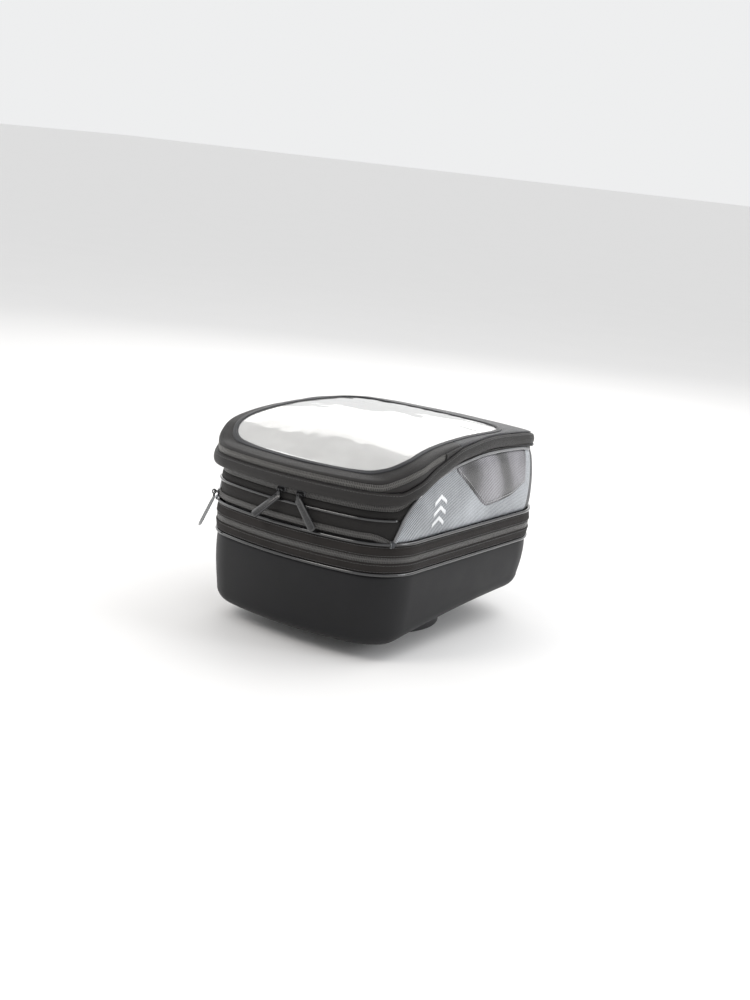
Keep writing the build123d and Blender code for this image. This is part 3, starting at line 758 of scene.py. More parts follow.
BASE_SPINE = (-70.0, 70.0)
TUB_ROUND = 15.0
TUB_TAPER = 4.0
s_round = around()
y_round = y_at(s_round)
bottom = SHELL_LOW + base_rise(y_round)
rows = []
turn_in = place(s_round, TUB_TAPER + TUB_ROUND, bottom)
for t in np.linspace(1, 0, 16):
    rows.append(to_spine(turn_in, BASE_SPINE, t, underside(0)))
for angle in np.linspace(0, math.pi / 2, 9)[1:]:
    rows.append(
        place(
            s_round, TUB_TAPER + TUB_ROUND * (1 - math.sin(angle)),
            bottom + TUB_ROUND * (1 - math.cos(angle))
        )
    )
for t in np.linspace(0, 1, 14)[1:]:
    dent = 0.35 * soft_noise(s_round, t * 40, 90, 3) * math.sin(math.pi * t)
    inset = TUB_TAPER * (1 - t) ** 1.5 + 0.9 * t**6 - 0.8 * math.sin(math.pi * t) + dent
    rows.append(place(s_round, inset, bottom + TUB_ROUND + (RIM - bottom - TUB_ROUND) * t))
outer_count = len(rows)
rows.append(place(s_round, 3.9, RIM + 0 * s_round))
for t in np.linspace(1, 0, 8):
    rows.append(
        place(
            s_round, 3.8 + TUB_TAPER * (1 - t) ** 1.5,
            bottom + TUB_ROUND + 2 + (SHELL_TOP - 2 - bottom - TUB_ROUND) * t
        )
    )
rows.append(place(s_round, 4.5 + TUB_TAPER + TUB_ROUND * 0.3, bottom + 7))
inner_turn = place(s_round, TUB_TAPER + TUB_ROUND, bottom + 4)
for t in np.linspace(0, 1, 14):
    rows.append(to_spine(inner_turn, BASE_SPINE, t, underside(4)))
tub = closed_rows("moulded_tub", rows, EVA, LINING, outer_count)


def ring_path(inset, z, run=None, step=STEP):
    s = around(step) if run is None else stations(*run, step)
    y = y_at(s)
    return path_on(s, height_at(inset, y), height_at(z, y))


def piping(name, inset, z, radius, material, run=None, seed=5):
    """A covered cord sewn between two panels; it wanders a little, as a sewn cord does."""
    path, out = ring_path(inset, z, run, 1.8)
    s = around(1.8) if run is None else stations(*run, 1.8)
    path = path + out * (0.12 * soft_noise(s, 0 * s, 35, seed))[:, None]
    return tube(name, path, out, radius, material, run is None)


base_piping = piping("tub_piping", -0.5, PIPING_A, PIPING_R, GLOSS)
BAND_LOW = PIPING_A + 1.2
LOWER_ZIP = EXPANSION_ZIP - 3.2
UPPER_ZIP = EXPANSION_ZIP + 3.2
FOOT_BULGE = [(2.6, 0), (0.2, 0.06), (-1.1, 0.3), (-1.7, 0.6), (-1.7, 0.85), (-0.9, 1)]
HEAD_BULGE = [(-0.9, 0), (-1.7, 0.15), (-1.7, 0.4), (-1.1, 0.7), (0.2, 0.94), (2.6, 1)]
lower_band = wall(
    "lower_band_cloth", None, BAND_LOW, LOWER_ZIP, FOOT_BULGE, 1.6, BAND, 11, 0.22, inside=LINING
)
lower_band = join(
    "lower_band_cloth",
    lower_band,
    stitches("s", *ring_path(-0.85, BAND_LOW + 2.0), THREAD, closed=True),
    stitches("s", *ring_path(-1.9, LOWER_ZIP - 1.7), THREAD, closed=True),
)


def zip_half(name, inset, z, side, run=None, teeth=TEETH, reach=3.9, drop=None):
    """Half a coil zip: its tape, its coil and the line of stitches that holds the coil."""
    s = around() if run is None else stations(*run, STEP)
    y = y_at(s)
    centre = height_at(z, y) if drop is None else height_at(z, y) - drop(s)
    offsets = np.array([0.15, 0.6, 2.2, 3.0, reach]) * side
    depth = np.array([0.5, 0.35, 0.3, 0.75, 1.4])
    if side < 0:
        offsets, depth = offsets[::-1], depth[::-1]
    inset = height_at(inset, y)
    points = place(s[:, None], inset[:, None] + depth[None, :], centre[:, None] + offsets[None, :])
    strip = shell(name, points, 0.9, TAPE, run is None)
    path, out = path_on(s, inset + 0.1, centre)
    coil_half = coil("c", path, out, teeth, side, run is None)
    seam, seam_out = path_on(s, inset + 0.25, centre + side * 2.9)
    return join(name, strip, coil_half, stitches("s", seam, seam_out, THREAD, 2.2, run is None, 0.22, 0.05))


expansion_lower = zip_half("expansion_zip_lower", -0.7, EXPANSION_ZIP, -1)
expansion_upper = zip_half("expansion_zip_upper", -0.7, EXPANSION_ZIP, 1)
gusset = wall(
    "expansion_fold", None, SHELL_TOP - 1, PIPING_B + 1, [
        (5.2, 0), (7, 0.15), (12, 0.5), (7, 0.85), (5.2, 1)
    ], 0.9, LINING, 21, 0.5
)
upper_band = wall(
    "upper_band_cloth", None, UPPER_ZIP, PIPING_B - 1.2, HEAD_BULGE, 1.6, BAND, 12, 0.22, inside=LINING
)
upper_band = join(
    "upper_band_cloth",
    upper_band,
    stitches("s", *ring_path(-1.9, UPPER_ZIP + 1.7), THREAD, closed=True),
    stitches("s", *ring_path(-0.75, PIPING_B - 3.0), THREAD, closed=True),
)
upper_piping = piping("upper_band_piping", -0.5, PIPING_B, PIPING_R, GLOSS, seed=6)

# ---------------------------------------------------------------- upright panels

SEAM_LINE = through(
    [
        (-170, 121), (-138, 122), (-133, 134), (-127, 150), (-118, 163), (-104, 173.5), (-90, 181),
        (-70, 187), (-38, 194), (20, 199), (90, 196), (112, 193)
    ]
)
SIDE_FRONT = 112.0
side_run = (s_at(-139.0), s_at(SIDE_FRONT))
rear_reach = s_at(-119.0)
ZIP_END = s_at(121.0)


def under_lid(drop):
    return lambda y: lid_low(y) - drop


def rib_drop(s):
    """How far the pocket's zip drops towards the lower seam at the right rear corner."""
    return 13.0 * np.clip((s - s_at(-153.0)) / 30.0, 0, 1.2) ** 1.6


RIB = 2.15
POCKET_LOW = PIPING_B + 1.4
POCKET_PIPE = 147.4


def ribs(s, z):
    phase = (z + rib_drop(s) - POCKET_LOW) * 2 * math.pi / RIB
    return -0.75 * np.abs(np.sin(phase / 2)) ** 0.7


rear_run = (-rear_reach, rear_reach)
pocket_profile = [(1.2, part) for part in np.linspace(0, 1, 24)]
pocket_profile[0], pocket_profile[-1] = (2.6, 0.0), (1.6, 1.0)
# Known fault: wall() takes ribs as out here, which leaves the cover smooth; its ribs need lift=ribs
pocket = wall(
    "rear_pocket_cover", rear_run, POCKET_LOW, POCKET_PIPE - 1, pocket_profile, 1.4, POCKET, 31, 0.3, 1.6,
    LINING, ribs
)
pocket_piping = piping("rear_pocket_piping", 0.5, POCKET_PIPE, 1.6, GLOSS, (-s_at(-134), s_at(-134)), 8)
POCKET_ZIP = 131.0
pocket_zip_run = (-rear_reach + 3, s_at(-153.0) + 23.0)
pocket_zip = join(
    "rear_pocket_zip",
    zip_half("z", 0.3, POCKET_ZIP, 1, pocket_zip_run, reach=2.4, drop=rib_drop),
    zip_half("z", 0.3, POCKET_ZIP, -1, pocket_zip_run, reach=2.4, drop=rib_drop),
)
rear_panel = wall(
    "rear_panel_cloth", rear_run, PIPING_B + 1, under_lid(7.2), [
        (5.5, 0), (4.6, 0.2), (3.4, 0.6), (1.2, 0.86), (2.4, 1)
    ], 2.0, POCKET, 32, 0.25, inside=LINING
)
front_run = (s_at(SIDE_FRONT - 1), AROUND - s_at(SIDE_FRONT - 1))
front_panel = wall(
    "front_panel_cloth", front_run, PIPING_B + 1.2, under_lid(5.5), [
        (2.4, 0), (0.0, 0.12), (-1.6, 0.5), (-0.6, 0.85), (1.6, 1)
    ], 2.4, TOP, 33, 0.5, inside=LINING, out=lean
)
foam = wall(
    "padded_wall", None, PIPING_B + 2, under_lid(8.5), [
        (9, 0), (8.4, 0.1), (8.1, 0.5), (8.4, 0.9), (9, 1)
    ], 3.4, LINING, 34, 0.3, out=lean
)


def side_low(y):
    return PIPING_B + 1.2 + 0 * y


insert_low = through(
    [(-50, 190), (-30, 176), (0, 154.5), (12, 147), (22, 143.6), (34, 144.2), (70, 148), (100, 159.5)]
)
INSERT_REAR, INSERT_FRONT = -46.0, 100.0
CHEVRON_Y, CHEVRON_Z = -74.0, 142.0
SIDE_PROFILE = [(2.4, 0), (0.4, 0.07), (-1.4, 0.25), (-2.4, 0.5), (-1.8, 0.78), (-0.4, 0.94), (1.2, 1)]


def side_inset(part):
    inset, at = smooth_profile(SIDE_PROFILE, 12)
    return np.interp(part, at, inset)


def on_side(sign, s, z, out):
    """Points standing out from a side panel's bulged face."""
    y = y_at(s)
    part = (z - side_low(y)) / (SEAM_LINE(y) - side_low(y))
    return place(sign * s, side_inset(np.clip(part, 0, 1)) - out - lean(y, part), z)


def side_pieces(side, sign):
    run = np.array(side_run) if sign > 0 else -np.array(side_run)[::-1]
    panel = wall(
        f"{side}_silver_panel", tuple(run), side_low, SEAM_LINE, SIDE_PROFILE, 2.2, WEAVE, 41, 0.0, 2.2,
        LINING, lean
    )
    s = stations(s_at(INSERT_REAR), s_at(INSERT_FRONT), 1.8)
    y = y_at(s)
    low, high = insert_low(y), SEAM_LINE(y) - 1.6
    parts = np.linspace(0, 1, 16)
    z = low[:, None] + np.maximum(high - low, 0.5)[:, None] * parts[None, :]
    edge = np.minimum(1, 5 * np.minimum(parts, 1.05 - parts))[None, :] * np.minimum(
        1, np.minimum(y - INSERT_REAR + 0.6, INSERT_FRONT + 0.6 - y) / 2.5
    )[:, None]
    points = np.stack([on_side(sign, s, z[:, k], 0.25 + 0.9 * edge[:, k]) for k in range(len(parts))], 1)
    if sign < 0:
        points = points[::-1]
    insert = shell(f"{side}_carbon_insert", points, 0.8, CARBON)
    along = low + 3.4
    keep = (high - along) > 0.5
    edge_path = on_side(sign, s[keep], along[keep], 1.2)
    _, _, nx, ny = on_outline(sign * s[keep])
    out = np.stack([nx, ny, 0 * nx], -1)
    insert = join(insert.name, insert, stitches("s", edge_path, out, PALE_THREAD, 4.2, False, 0.34, 0.1))
    seam_y = np.concatenate([np.linspace(-138.5, -118, 30), np.linspace(-117, SIDE_FRONT, 110)])
    seam_s = np.array([s_at(v) for v in seam_y]) * sign
    path = place(seam_s, 0.4 - lean(seam_y, 1.0), SEAM_LINE(seam_y) + 0.2)
    _, _, nx, ny = on_outline(seam_s)
    out = np.stack([nx, ny, 0 * nx], -1)
    gone = lengths(path)
    even = np.linspace(0, gone[-1], 180)
    path = sample(even, gone, path)
    out = sample(even, gone, out)
    edge_piping = tube(f"{side}_silver_piping", path, out, 1.7, SILVER)
    return panel, insert, edge_piping


def chevrons(sign):
    """Three plain chevrons printed on the side panel."""
    marks = []
    for k in range(3):
        rise = CHEVRON_Z + 11.0 * k
        t = np.linspace(-1, 1, 15)
        y = CHEVRON_Y + 11.0 * t
        low = rise - 7.0 * np.abs(t)
        s = np.array([s_at(v) for v in y])
        points = np.stack([on_side(sign, s, low + 4.4 * part, 0.3) for part in np.linspace(0, 1, 4)], 1)
        marks.append(shell("chevron", points if sign > 0 else points[::-1], 0.25, WHITE))
    return join("chevron_print", *marks)


right_panel, right_insert, right_piping = side_pieces("right", 1)
left_panel, left_insert, left_piping = side_pieces("left", -1)
right_panel = join(right_panel.name, right_panel, chevrons(1))
left_panel = join(left_panel.name, left_panel, chevrons(-1))

# ---------------------------------------------------------------- main zip, lid band, lid

def main_inset(y):
    return 2.6 - lean(y, 1.0)


main_lower = zip_half("main_zip_lower", main_inset, under_lid(4.0), -1, (-ZIP_END, ZIP_END), reach=3.7)
main_upper = zip_half("main_zip_upper", main_inset, under_lid(4.0), 1, (-ZIP_END, ZIP_END), reach=3.6)
lid_band = wall(
    "lid_edge_band", None, lid_low, under_lid(-LID_BAND),
    [
        (3.8, 0), (1.0, 0.03), (-0.6, 0.12), (-1.5, 0.32), (-1.6, 0.55), (-0.9, 0.78), (0.5, 0.94),
        (2.6, 1.0)
    ], 1.8, LID, 51, 0.25, inside=LINING, out=with_lid,
)
lid_band = join(
    lid_band.name, lid_band,
    stitches("s", *ring_path(lambda y: -0.55 - lid_out(y), under_lid(-LID_BAND + 1.8)), THREAD, closed=True)
)


def crown(x, y):
    half = np.interp(y, OUT_P[OUT_S[: len(OUT_P)] <= HALF, 1], OUT_P[OUT_S[: len(OUT_P)] <= HALF, 0])
    return CROWN * (1 - np.clip(np.abs(x) / np.maximum(half, 30), 0, 1) ** 2)


def roof_at(x, y):
    rear_fall = 1 - np.clip((-130 - np.asarray(y)) / 40, 0, 1) ** 2
    return roof(y) + crown(x, y) * rear_fall


WINDOW_FRONT = 75.0
WINDOW_IN = 14.0
BEND_Y = 38.0


def window_front_path():
    """The window's edge from the right side at BEND_Y, round its front corner, to the middle."""
    x, y, nx, ny = on_outline(s_at(BEND_Y))
    start = np.array([x - nx * WINDOW_IN, y - ny * WINDOW_IN])
    radius = 32.0
    centre = np.array([start[0] - radius - 1.0, WINDOW_FRONT - radius])
    turns = np.linspace(0, math.pi / 2, 24)
    arc = centre + radius * np.stack([np.cos(turns), np.sin(turns)], -1)
    return np.vstack([start, arc, [0, WINDOW_FRONT]])


FRONT_EDGE = window_front_path()
FRONT_GONE = lengths(FRONT_EDGE)


def window_edge(s, more=0.0):
    """The window's outline opposite the distance s, moved outwards by more."""
    s = np.mod(s, AROUND)
    side = np.where(s > HALF, -1.0, 1.0)
    s = np.minimum(s, AROUND - s)
    inner = place(s, WINDOW_IN - more, 0 * s)[:, :2]
    turn = s_at(BEND_Y)
    gone = np.clip((s - turn) / (HALF - turn), 0, 1) * FRONT_GONE[-1]
    front = sample(gone, FRONT_GONE, FRONT_EDGE)
    ahead = sample(gone + 1.5, FRONT_GONE, FRONT_EDGE)
    back = sample(gone - 1.5, FRONT_GONE, FRONT_EDGE)
    way = ahead - back
    way /= np.linalg.norm(way, axis=1, keepdims=True)
    front = front + np.stack([way[:, 1], -way[:, 0]], -1) * more
    edge = np.where((s > turn)[:, None], front, inner)
    edge[:, 0] *= side
    return edge


def top_skin(name, run, low, profile, edge_rows, material, seed):
    """Cloth from a seam on the lid's side, over its rim, to the window's edge."""
    s = stations(*run, LID_STEP)
    y = y_at(s)
    z_low = low(y)
    columns = []
    rim = None
    for inset, part in zip(*smooth_profile(profile, 3)):
        p = place(s, inset - lid_out(y), 0 * s)
        top = roof_at(p[:, 0], p[:, 1])
        z = z_low + np.maximum(top - z_low, 1.5) * part
        rim = np.concatenate([p[:, :2], z[:, None]], 1)
        columns.append(rim)
    last = columns[-1][:, :2]
    over = columns[-1][:, 2] - roof_at(*last.T)
    edge = window_edge(s)
    for t in np.linspace(0, 1, edge_rows + 1)[1:]:
        xy = last + (edge - last) * t
        z = roof_at(*xy.T) + over * (1 - t) ** 2 + 0.35 * soft_noise(
            s, t * 60, 50, seed
        ) * math.sin(math.pi * t)
        columns.append(np.concatenate([xy, z[:, None]], 1))
    points = np.stack(columns, 1)
    return shell(name, points, 1.3, material, inside=LINING)


def edge_binding(name, run, material):
    """A folded tape along the window's edge, with a row of stitches."""
    s = stations(*run, LID_STEP)
    columns = []
    for more, lift in [(5.2, -0.1), (5.0, 0.7), (4.2, 1.05), (1.0, 1.05), (0.1, 0.75), (-0.1, -0.3)]:
        xy = window_edge(s, more)
        columns.append(np.concatenate([xy, (roof_at(*xy.T) + lift)[:, None]], 1))
    tape = shell(name, np.stack(columns, 1), 0.5, material)
    xy = window_edge(s, 1.7)
    path = np.concatenate([xy, (roof_at(*xy.T) + 1.1)[:, None]], 1)
    up = np.tile([0.0, 0.0, 1.0], (len(s), 1))
    return join(name, tape, stitches("s", path, up, THREAD, 3.0, False, 0.26, 0.0))


flap_s = s_at(FLAP_LINE - 0.4)
zip_stop = s_at(-73.0)
flap_run = (-flap_s, flap_s)
map_run = (-zip_stop, zip_stop)


def map_inset(y):
    return 3.2 - lid_out(y)


def all_lid(y, part):
    return lid_out(y) + 0 * part


map_lower_cloth = wall(
    "map_band_lower", map_run, under_lid(-LID_BAND), lambda y: map_zip(y) - 2.6, [
        (4.2, 0), (2.7, 0.12), (2.2, 0.5), (2.8, 0.88), (3.8, 1)
    ], 1.2, LID, 61, 0.2, inside=LINING, out=all_lid
)
map_lower = join(
    "map_zip_lower", zip_half("z", map_inset, map_zip, -1, map_run, teeth=BRIGHT_TEETH, reach=3.2),
    map_lower_cloth
)
map_upper = zip_half("map_zip_upper", map_inset, map_zip, 1, map_run, teeth=BRIGHT_TEETH, reach=3.2)
flap_skin = top_skin(
    "map_flap_border", flap_run, lambda y: map_zip(y) + 2.7, [
        (4.4, 0), (3.3, 0.12), (3.5, 0.45), (4.8, 0.8), (7.5, 0.96), (10.5, 1.0)
    ], 6, LID, 62
)
flap_skin = join(flap_skin.name, flap_skin, edge_binding("b", flap_run, TOP))
lid_front_run = (flap_s, AROUND - flap_s)
lid_front = top_skin(
    "lid_front_cloth", lid_front_run, under_lid(-LID_BAND), [
        (4.4, 0), (2.6, 0.2), (2.8, 0.5), (4.6, 0.82), (7.8, 0.96), (11, 1.0)
    ], 20, TOP, 63
)
lid_front = join(lid_front.name, lid_front, edge_binding("b", lid_front_run, TOP))


def garage(sign):
    """The folded cloth that covers one end of the map zip."""
    s = stations(s_at(-74.5), s_at(-45.5), 1.5)
    y = y_at(s)
    low, high = lid_low(y) + LID_BAND, np.minimum(map_zip(y) + 3.4, roof(y) - 0.6)
    columns = []
    for inset, part in zip(*smooth_profile([(3.6, 0), (2.0, 0.15), (1.2, 0.5), (1.6, 0.85), (3.4, 1)], 3)):
        columns.append(place(sign * s, inset - lid_out(y), low + (high - low) * part))
    points = np.stack(columns, 1)
    cover = shell("g", points if sign > 0 else points[::-1], 1.1, LID, inside=LINING)
    path, out = path_on(
        sign * s[:2].mean() + 0 * low[:12] + sign * 1.2, 1.1 - lid_out(y[0]),
        np.linspace(low[0] + 1, high[0] - 1, 12)
    )
    return join("g", cover, stitches("s", path, out, THREAD, 2.6, False, 0.26, 0.3))


garages = join("map_zip_garages_cloth", garage(1), garage(-1))

WINDOW_SPINE = (-75.0, 15.0)


def window_height(x, y):
    """The clear window's surface before its swell is added: the roof, lowered a little."""
    return roof_at(x, y) - 0.4


ring_s = around()
window_ring = window_edge(ring_s, 2.5)


def swell(t):
    return 3.0 * (1 - (1 - t) ** 2.2)


def waves(x, y):
    """Long shallow waves that the clear sheet keeps from being rolled up."""
    slow = np.sin(x / 31 + 1.3 * np.sin(y / 47 + 0.6)) * np.sin(y / 38 + 0.9 * np.sin(x / 53))
    return 0.6 * slow + 0.3 * np.sin((x + 0.55 * y) / 12.5 + 1.7 * np.sin(y / 29))


steps = np.linspace(0, 1, 34) ** 1.15
sheet_top = []
for t in steps:
    row = to_spine(np.concatenate([window_ring, 0 * window_ring[:, :1]], 1), WINDOW_SPINE, t, window_height)
    pucker = 0.55 * soft_noise(ring_s, t * 60, 34, 71) * math.sin(
        math.pi * min(1, t * 1.6)
    ) * (1 - t) ** 1.5
    row[:, 2] += swell(t) + pucker + 0.9 * waves(row[:, 0], row[:, 1]) * min(1, 4 * t)
    sheet_top.append(row)
sheet_low = [row - np.array([0, 0, SHEET]) for row in sheet_top[::-1]]
window = closed_rows("clear_window", sheet_low + sheet_top, PVC)


def lid_floor(lift):
    return lambda x, y: lid_low(y) + lift


FLOOR_SPINE = (-80.0, 80.0)
floor_edge = place(ring_s, 4.4, 0 * ring_s)
map_floor = plate("map_pocket_cloth", floor_edge, FLOOR_SPINE, lid_floor(6.2), 1.6, TOP, 16)
lining_edge = place(ring_s, 7.2, 0 * ring_s)
lid_lining = plate("lid_lining_board", lining_edge, FLOOR_SPINE, lid_floor(3.4), 2.8, BOARD, 16, LINING)
hinge_run = (s_at(122.0), AROUND - s_at(122.0))
hinge_strip = wall(
    "lid_hinge_cloth", hinge_run, under_lid(9.0), under_lid(-3.0), [
        (1.4, 0), (1.0, 0.25), (1.4, 0.5), (2.4, 0.75), (4.0, 1)
    ], 1.1, TOP, 72, 0.1, out=lambda y, part: lid_out(y) + 0 * part
)

# ---------------------------------------------------------------- straps


def strap(name, path, side, width, thickness, material):
    """A flat webbing strap along a path, with its width along side."""
    path, side = np.asarray(path, float), np.asarray(side, float)
    across = np.linspace(-0.5, 0.5, 9)
    crowned = 0.25 * (1 - (2 * across) ** 6)
    tangent = np.gradient(path, axis=0)
    normal = np.cross(np.broadcast_to(side, path.shape), tangent)
    normal /= np.linalg.norm(normal, axis=1, keepdims=True)
    points = path[:, None] + across[None, :, None] * width * side + crowned[None, :, None] * normal[:, None]
    return shell(name, points, thickness, material)


def curve_through(points, count):
    p = np.array(points, float)
    gone = lengths(p)
    lines = [through(np.stack([gone, c], -1)) for c in p.T]
    at = np.linspace(0, gone[-1], count)
    return np.stack([line(at) for line in lines], -1)


handle_low, handle_high = levels("carry_handle")
HANDLE_Z = (handle_low + handle_high) / 2
handle_turns = np.linspace(-1, 1, 61)
handle_path = np.stack(
    [
        62.0 * handle_turns,
        FRONT_Y - 1.5 - 2.4 * np.abs(handle_turns) ** 1.5 + 14.5 * np.clip(
            1 - (handle_turns / 0.93) ** 2, 0, 1
        ) ** 0.85,
        HANDLE_Z + 0 * handle_turns,
    ],
    -1,
)[::-1]
handle = strap("webbing_handle", handle_path, (0, 0, 1), 25.0, 2.2, WEBBING)
# Known fault: interp() needs x to rise, and it falls here, so the stitches stand off the handle's ends
tacks = []
for sign in (-1, 1):
    for inward in (0.5, 4.5, 8.5):
        at = np.array([sign * (61.5 - inward), 0, 0])
        line_z = np.linspace(HANDLE_Z - 10.5, HANDLE_Z + 10.5, 12)
        y = np.interp(
            abs(at[0]), handle_path[handle_path[:, 0] > 0][::-1, 0][::-1],
            handle_path[handle_path[:, 0] > 0][::-1, 1][::-1]
        )
        path = np.stack([at[0] + 0 * line_z, y + 0.5 + 0 * line_z, line_z], -1)
        tacks.append(stitches("t", path, np.tile([0.0, 1.0, 0.0], (12, 1)), THREAD, 2.0, False, 0.35, 0.0))
handle = join("webbing_handle", handle, *tacks)

strap_low, strap_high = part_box("release_strap")
STRAP_FRONT, STRAP_REAR = strap_high.y / MM, strap_low.y / MM
STRAP_LOW, STRAP_TOP = strap_low.z / MM, strap_high.z / MM
strap_mid = (STRAP_LOW + STRAP_TOP) / 2
strap_loop = curve_through(
    [
        (0, STRAP_FRONT - 4.0, STRAP_LOW + 0.9),
        (0, STRAP_FRONT - 20, STRAP_LOW + 0.8),
        (0, STRAP_REAR + 6, STRAP_LOW + 1.2),
        (0, STRAP_REAR + 1.0, strap_mid),
        (0, STRAP_REAR + 6, STRAP_TOP - 0.9),
        (0, STRAP_FRONT - 20, STRAP_TOP - 0.7),
        (0, STRAP_FRONT - 2, STRAP_TOP - 0.8),
        (0, STRAP_FRONT - 0.6, strap_mid),
        (0, STRAP_FRONT - 2.4, STRAP_LOW + 0.7),
    ],
    110,
)
release = strap("release_strap_webbing", strap_loop, (1, 0, 0), 17.5, 1.4, WEBBING)

# ---------------------------------------------------------------- zip sliders and pulls

BAIL_OUT = 5.9
NECK = 6.4
# Each pull hangs turned sideways by skew and outwards by lean, in degrees, and is this long in mm
PULLS = {
    "main_left": (-38, 28, 40), "main_right": (42, 8, 41), "pocket": (26, 25, 40), "expansion": (0, 6, 34),
    "map": (None, 14, 34)
}


def plate_mesh(outline, low, high, bevel):
    """A bevelled plate from an outline in x and z, standing between two depths. Returns points and faces."""
    outline = np.asarray(outline, float)
    n = len(outline)
    centre = outline.mean(0)
    way = outline - centre
    way /= np.linalg.norm(way, axis=1, keepdims=True)
    points = []
    for inward, depth in (
        (bevel, low), (bevel * 0.3, low + bevel * 0.3), (0, low + bevel), (0, high - bevel),
        (bevel * 0.3, high - bevel * 0.3), (bevel, high)
    ):
        ring = outline - way * inward
        points += [(x, depth, z) for x, z in ring]
    faces = [list(map(int, q)) for q in grid_faces(6, n, wrap_columns=True)]
    faces += [list(range(n))[::-1], [5 * n + k for k in range(n)]]
    return np.array(points), faces


def rounded_outline(half_x, half_z, radius, tail=1.0, count=8):
    """A rounded rectangle in x and z that narrows to tail at its low-x end."""
    out = []
    for cx, cz, start in ((1, 1, 0), (-1, 1, 90), (-1, -1, 180), (1, -1, 270)):
        for t in np.linspace(start, start + 90, count):
            a = math.radians(t)
            x = cx * (half_x - radius) + radius * math.cos(a)
            z = cz * (half_z - radius) + radius * math.sin(a)
            out.append((x, z * (tail + (1 - tail) * (x + half_x) / (2 * half_x))))
    return out


def local_piece(name, points, faces, basis, material):
    """A piece from points in a slider's own frame: x along the zip, y inwards, z up."""
    origin, matrix = basis
    return new_object(name, np.asarray(points) @ matrix.T + origin, faces, material)


def local_tube(name, path, radius, basis, material, closed=False, sides=10):
    origin, matrix = basis
    path = np.asarray(path, float)
    guide = path - path.mean(0)
    guide += np.array([1e-3, 1e-3, 1e-3])
    return tube(name, path @ matrix.T + origin, guide @ matrix.T, radius, material, closed, sides)


def swing_of(pull):
    for joint in frame["joints"]:
        if joint["child"] == pull:
            return joint
    raise KeyError(pull)


def slider_basis(pull):
    """The slider's frame, from its pull's hinge: the bail's bar lies on the hinge's axis."""
    joint = swing_of(pull)
    run = -np.array(joint["axis"], float)
    run /= np.linalg.norm(run)
    inward = -np.array([run[1], -run[0], 0.0])
    inward /= np.linalg.norm(inward)
    up = np.cross(run, inward)
    matrix = np.stack([run, inward, up], -1)
    return np.array(joint["pos_m"]) / MM + inward * BAIL_OUT, matrix


def zip_slider(name, basis):
    face, faces = plate_mesh(rounded_outline(5.5, 3.2, 1.9, 0.72), -2.2, -0.6, 0.55)
    body = local_piece("b", face, faces, basis, ENAMEL)
    back, faces = plate_mesh(rounded_outline(5.4, 3.1, 1.9, 0.72), 3.6, 4.7, 0.4)
    rear = local_piece("b", back, faces, basis, ENAMEL)
    web, faces = plate_mesh(rounded_outline(1.6, 0.25, 0.2), -1.2, 4.0, 0.05)
    spine = local_piece("b", web, faces, basis, ENAMEL)
    arch = curve_through(
        [
            (-3.0, -1.5, 0), (-3.05, -3.6, 0), (-2.7, -5.4, 0), (-1.6, -5.95, 0), (0, -BAIL_OUT, 0),
            (1.6, -5.95, 0), (2.7, -5.4, 0), (3.05, -3.6, 0), (3.0, -1.5, 0)
        ],
        40
    )
    bail = local_tube("b", arch, 0.66, basis, ENAMEL)
    ridge, faces = plate_mesh(rounded_outline(3.6, 0.9, 0.6), -2.6, -1.9, 0.3)
    return join(name, body, rear, spine, bail, local_piece("b", ridge, faces, basis, ENAMEL))


def zip_pull(name, basis, skew, lean, length, edge=PULL_EDGE):
    """A moulded pull: a link round the bail, a neck, and a flat tab with a rim and a ribbed grip."""
    skew, lean = math.radians(skew), math.radians(lean)
    turns = np.linspace(0, 2 * math.pi, 28, endpoint=False)
    links = []
    for x in (-1.0, 1.0):
        ring = np.stack([x + 0 * turns, -BAIL_OUT + 1.85 * np.cos(turns), -0.25 + 2.1 * np.sin(turns)], -1)
        links.append(local_tube("l", ring, 0.55, basis, ENAMEL, True))
    neck, faces = plate_mesh(rounded_outline(1.9, 2.4, 0.8), -BAIL_OUT - 1.15, -BAIL_OUT + 1.15, 0.4)
    neck[:, 2] -= 4.5
    links.append(local_piece("n", neck, faces, basis, PULL))
    down = np.array([0, -math.sin(lean), -math.cos(lean)])
    across = np.array([1.0, 0, 0])
    run = down * math.cos(skew) + across * math.sin(skew)
    side = across * math.cos(skew) - down * math.sin(skew)
    normal = np.cross(run, side)
    start = np.array([0, -BAIL_OUT, -NECK])
    tab_matrix = np.stack([run, normal, side], -1)
    long = length - NECK + 1.0

    def tab(outline, low, high, bevel, shift, material):
        points, faces = plate_mesh(outline, low, high, bevel)
        points[:, 0] += shift
        return local_piece("t", points @ tab_matrix.T + start, faces, basis, material)

    middle = long / 2 - 1.0
    parts = [tab(rounded_outline(long / 2, 4.2, 2.4, 0.8), -0.95, 0.95, 0.4, middle, edge)]
    for low, high in ((-1.25, -0.8), (0.8, 1.25)):
        parts.append(tab(rounded_outline(long / 2 - 1.3, 2.9, 1.7, 0.8), low, high, 0.15, middle, PULL))
        for k in range(9):
            at = middle - long / 2 + 5.5 + k * (long - 9.5) / 9
            rib = rounded_outline(0.5, 2.2 + 0.04 * k, 0.4)
            depths = (high, high + 0.3) if high > 0 else (low - 0.3, low)
            parts.append(tab(rib, *depths, 0.12, at, PULL))
    return join(name, *links, *parts)


hardware = {}
for key, (skew, tilt, length) in PULLS.items():
    group, _, hand = key.partition("_")
    slider_name, pull_name = (f"{group}_{part}" + (f"_{hand}" if hand else "") for part in ("slider", "pull"))
    basis = slider_basis(pull_name)
    if skew is None:
        skew = math.degrees(math.asin(-basis[1][2, 0]))
    hardware[slider_name] = zip_slider(f"{key}_zip_slider", basis)
    hardware[pull_name] = zip_pull(
        f"{key}_zip_pull", basis, skew, tilt, length, PALE_EDGE if key == "pocket" else PULL_EDGE
    )

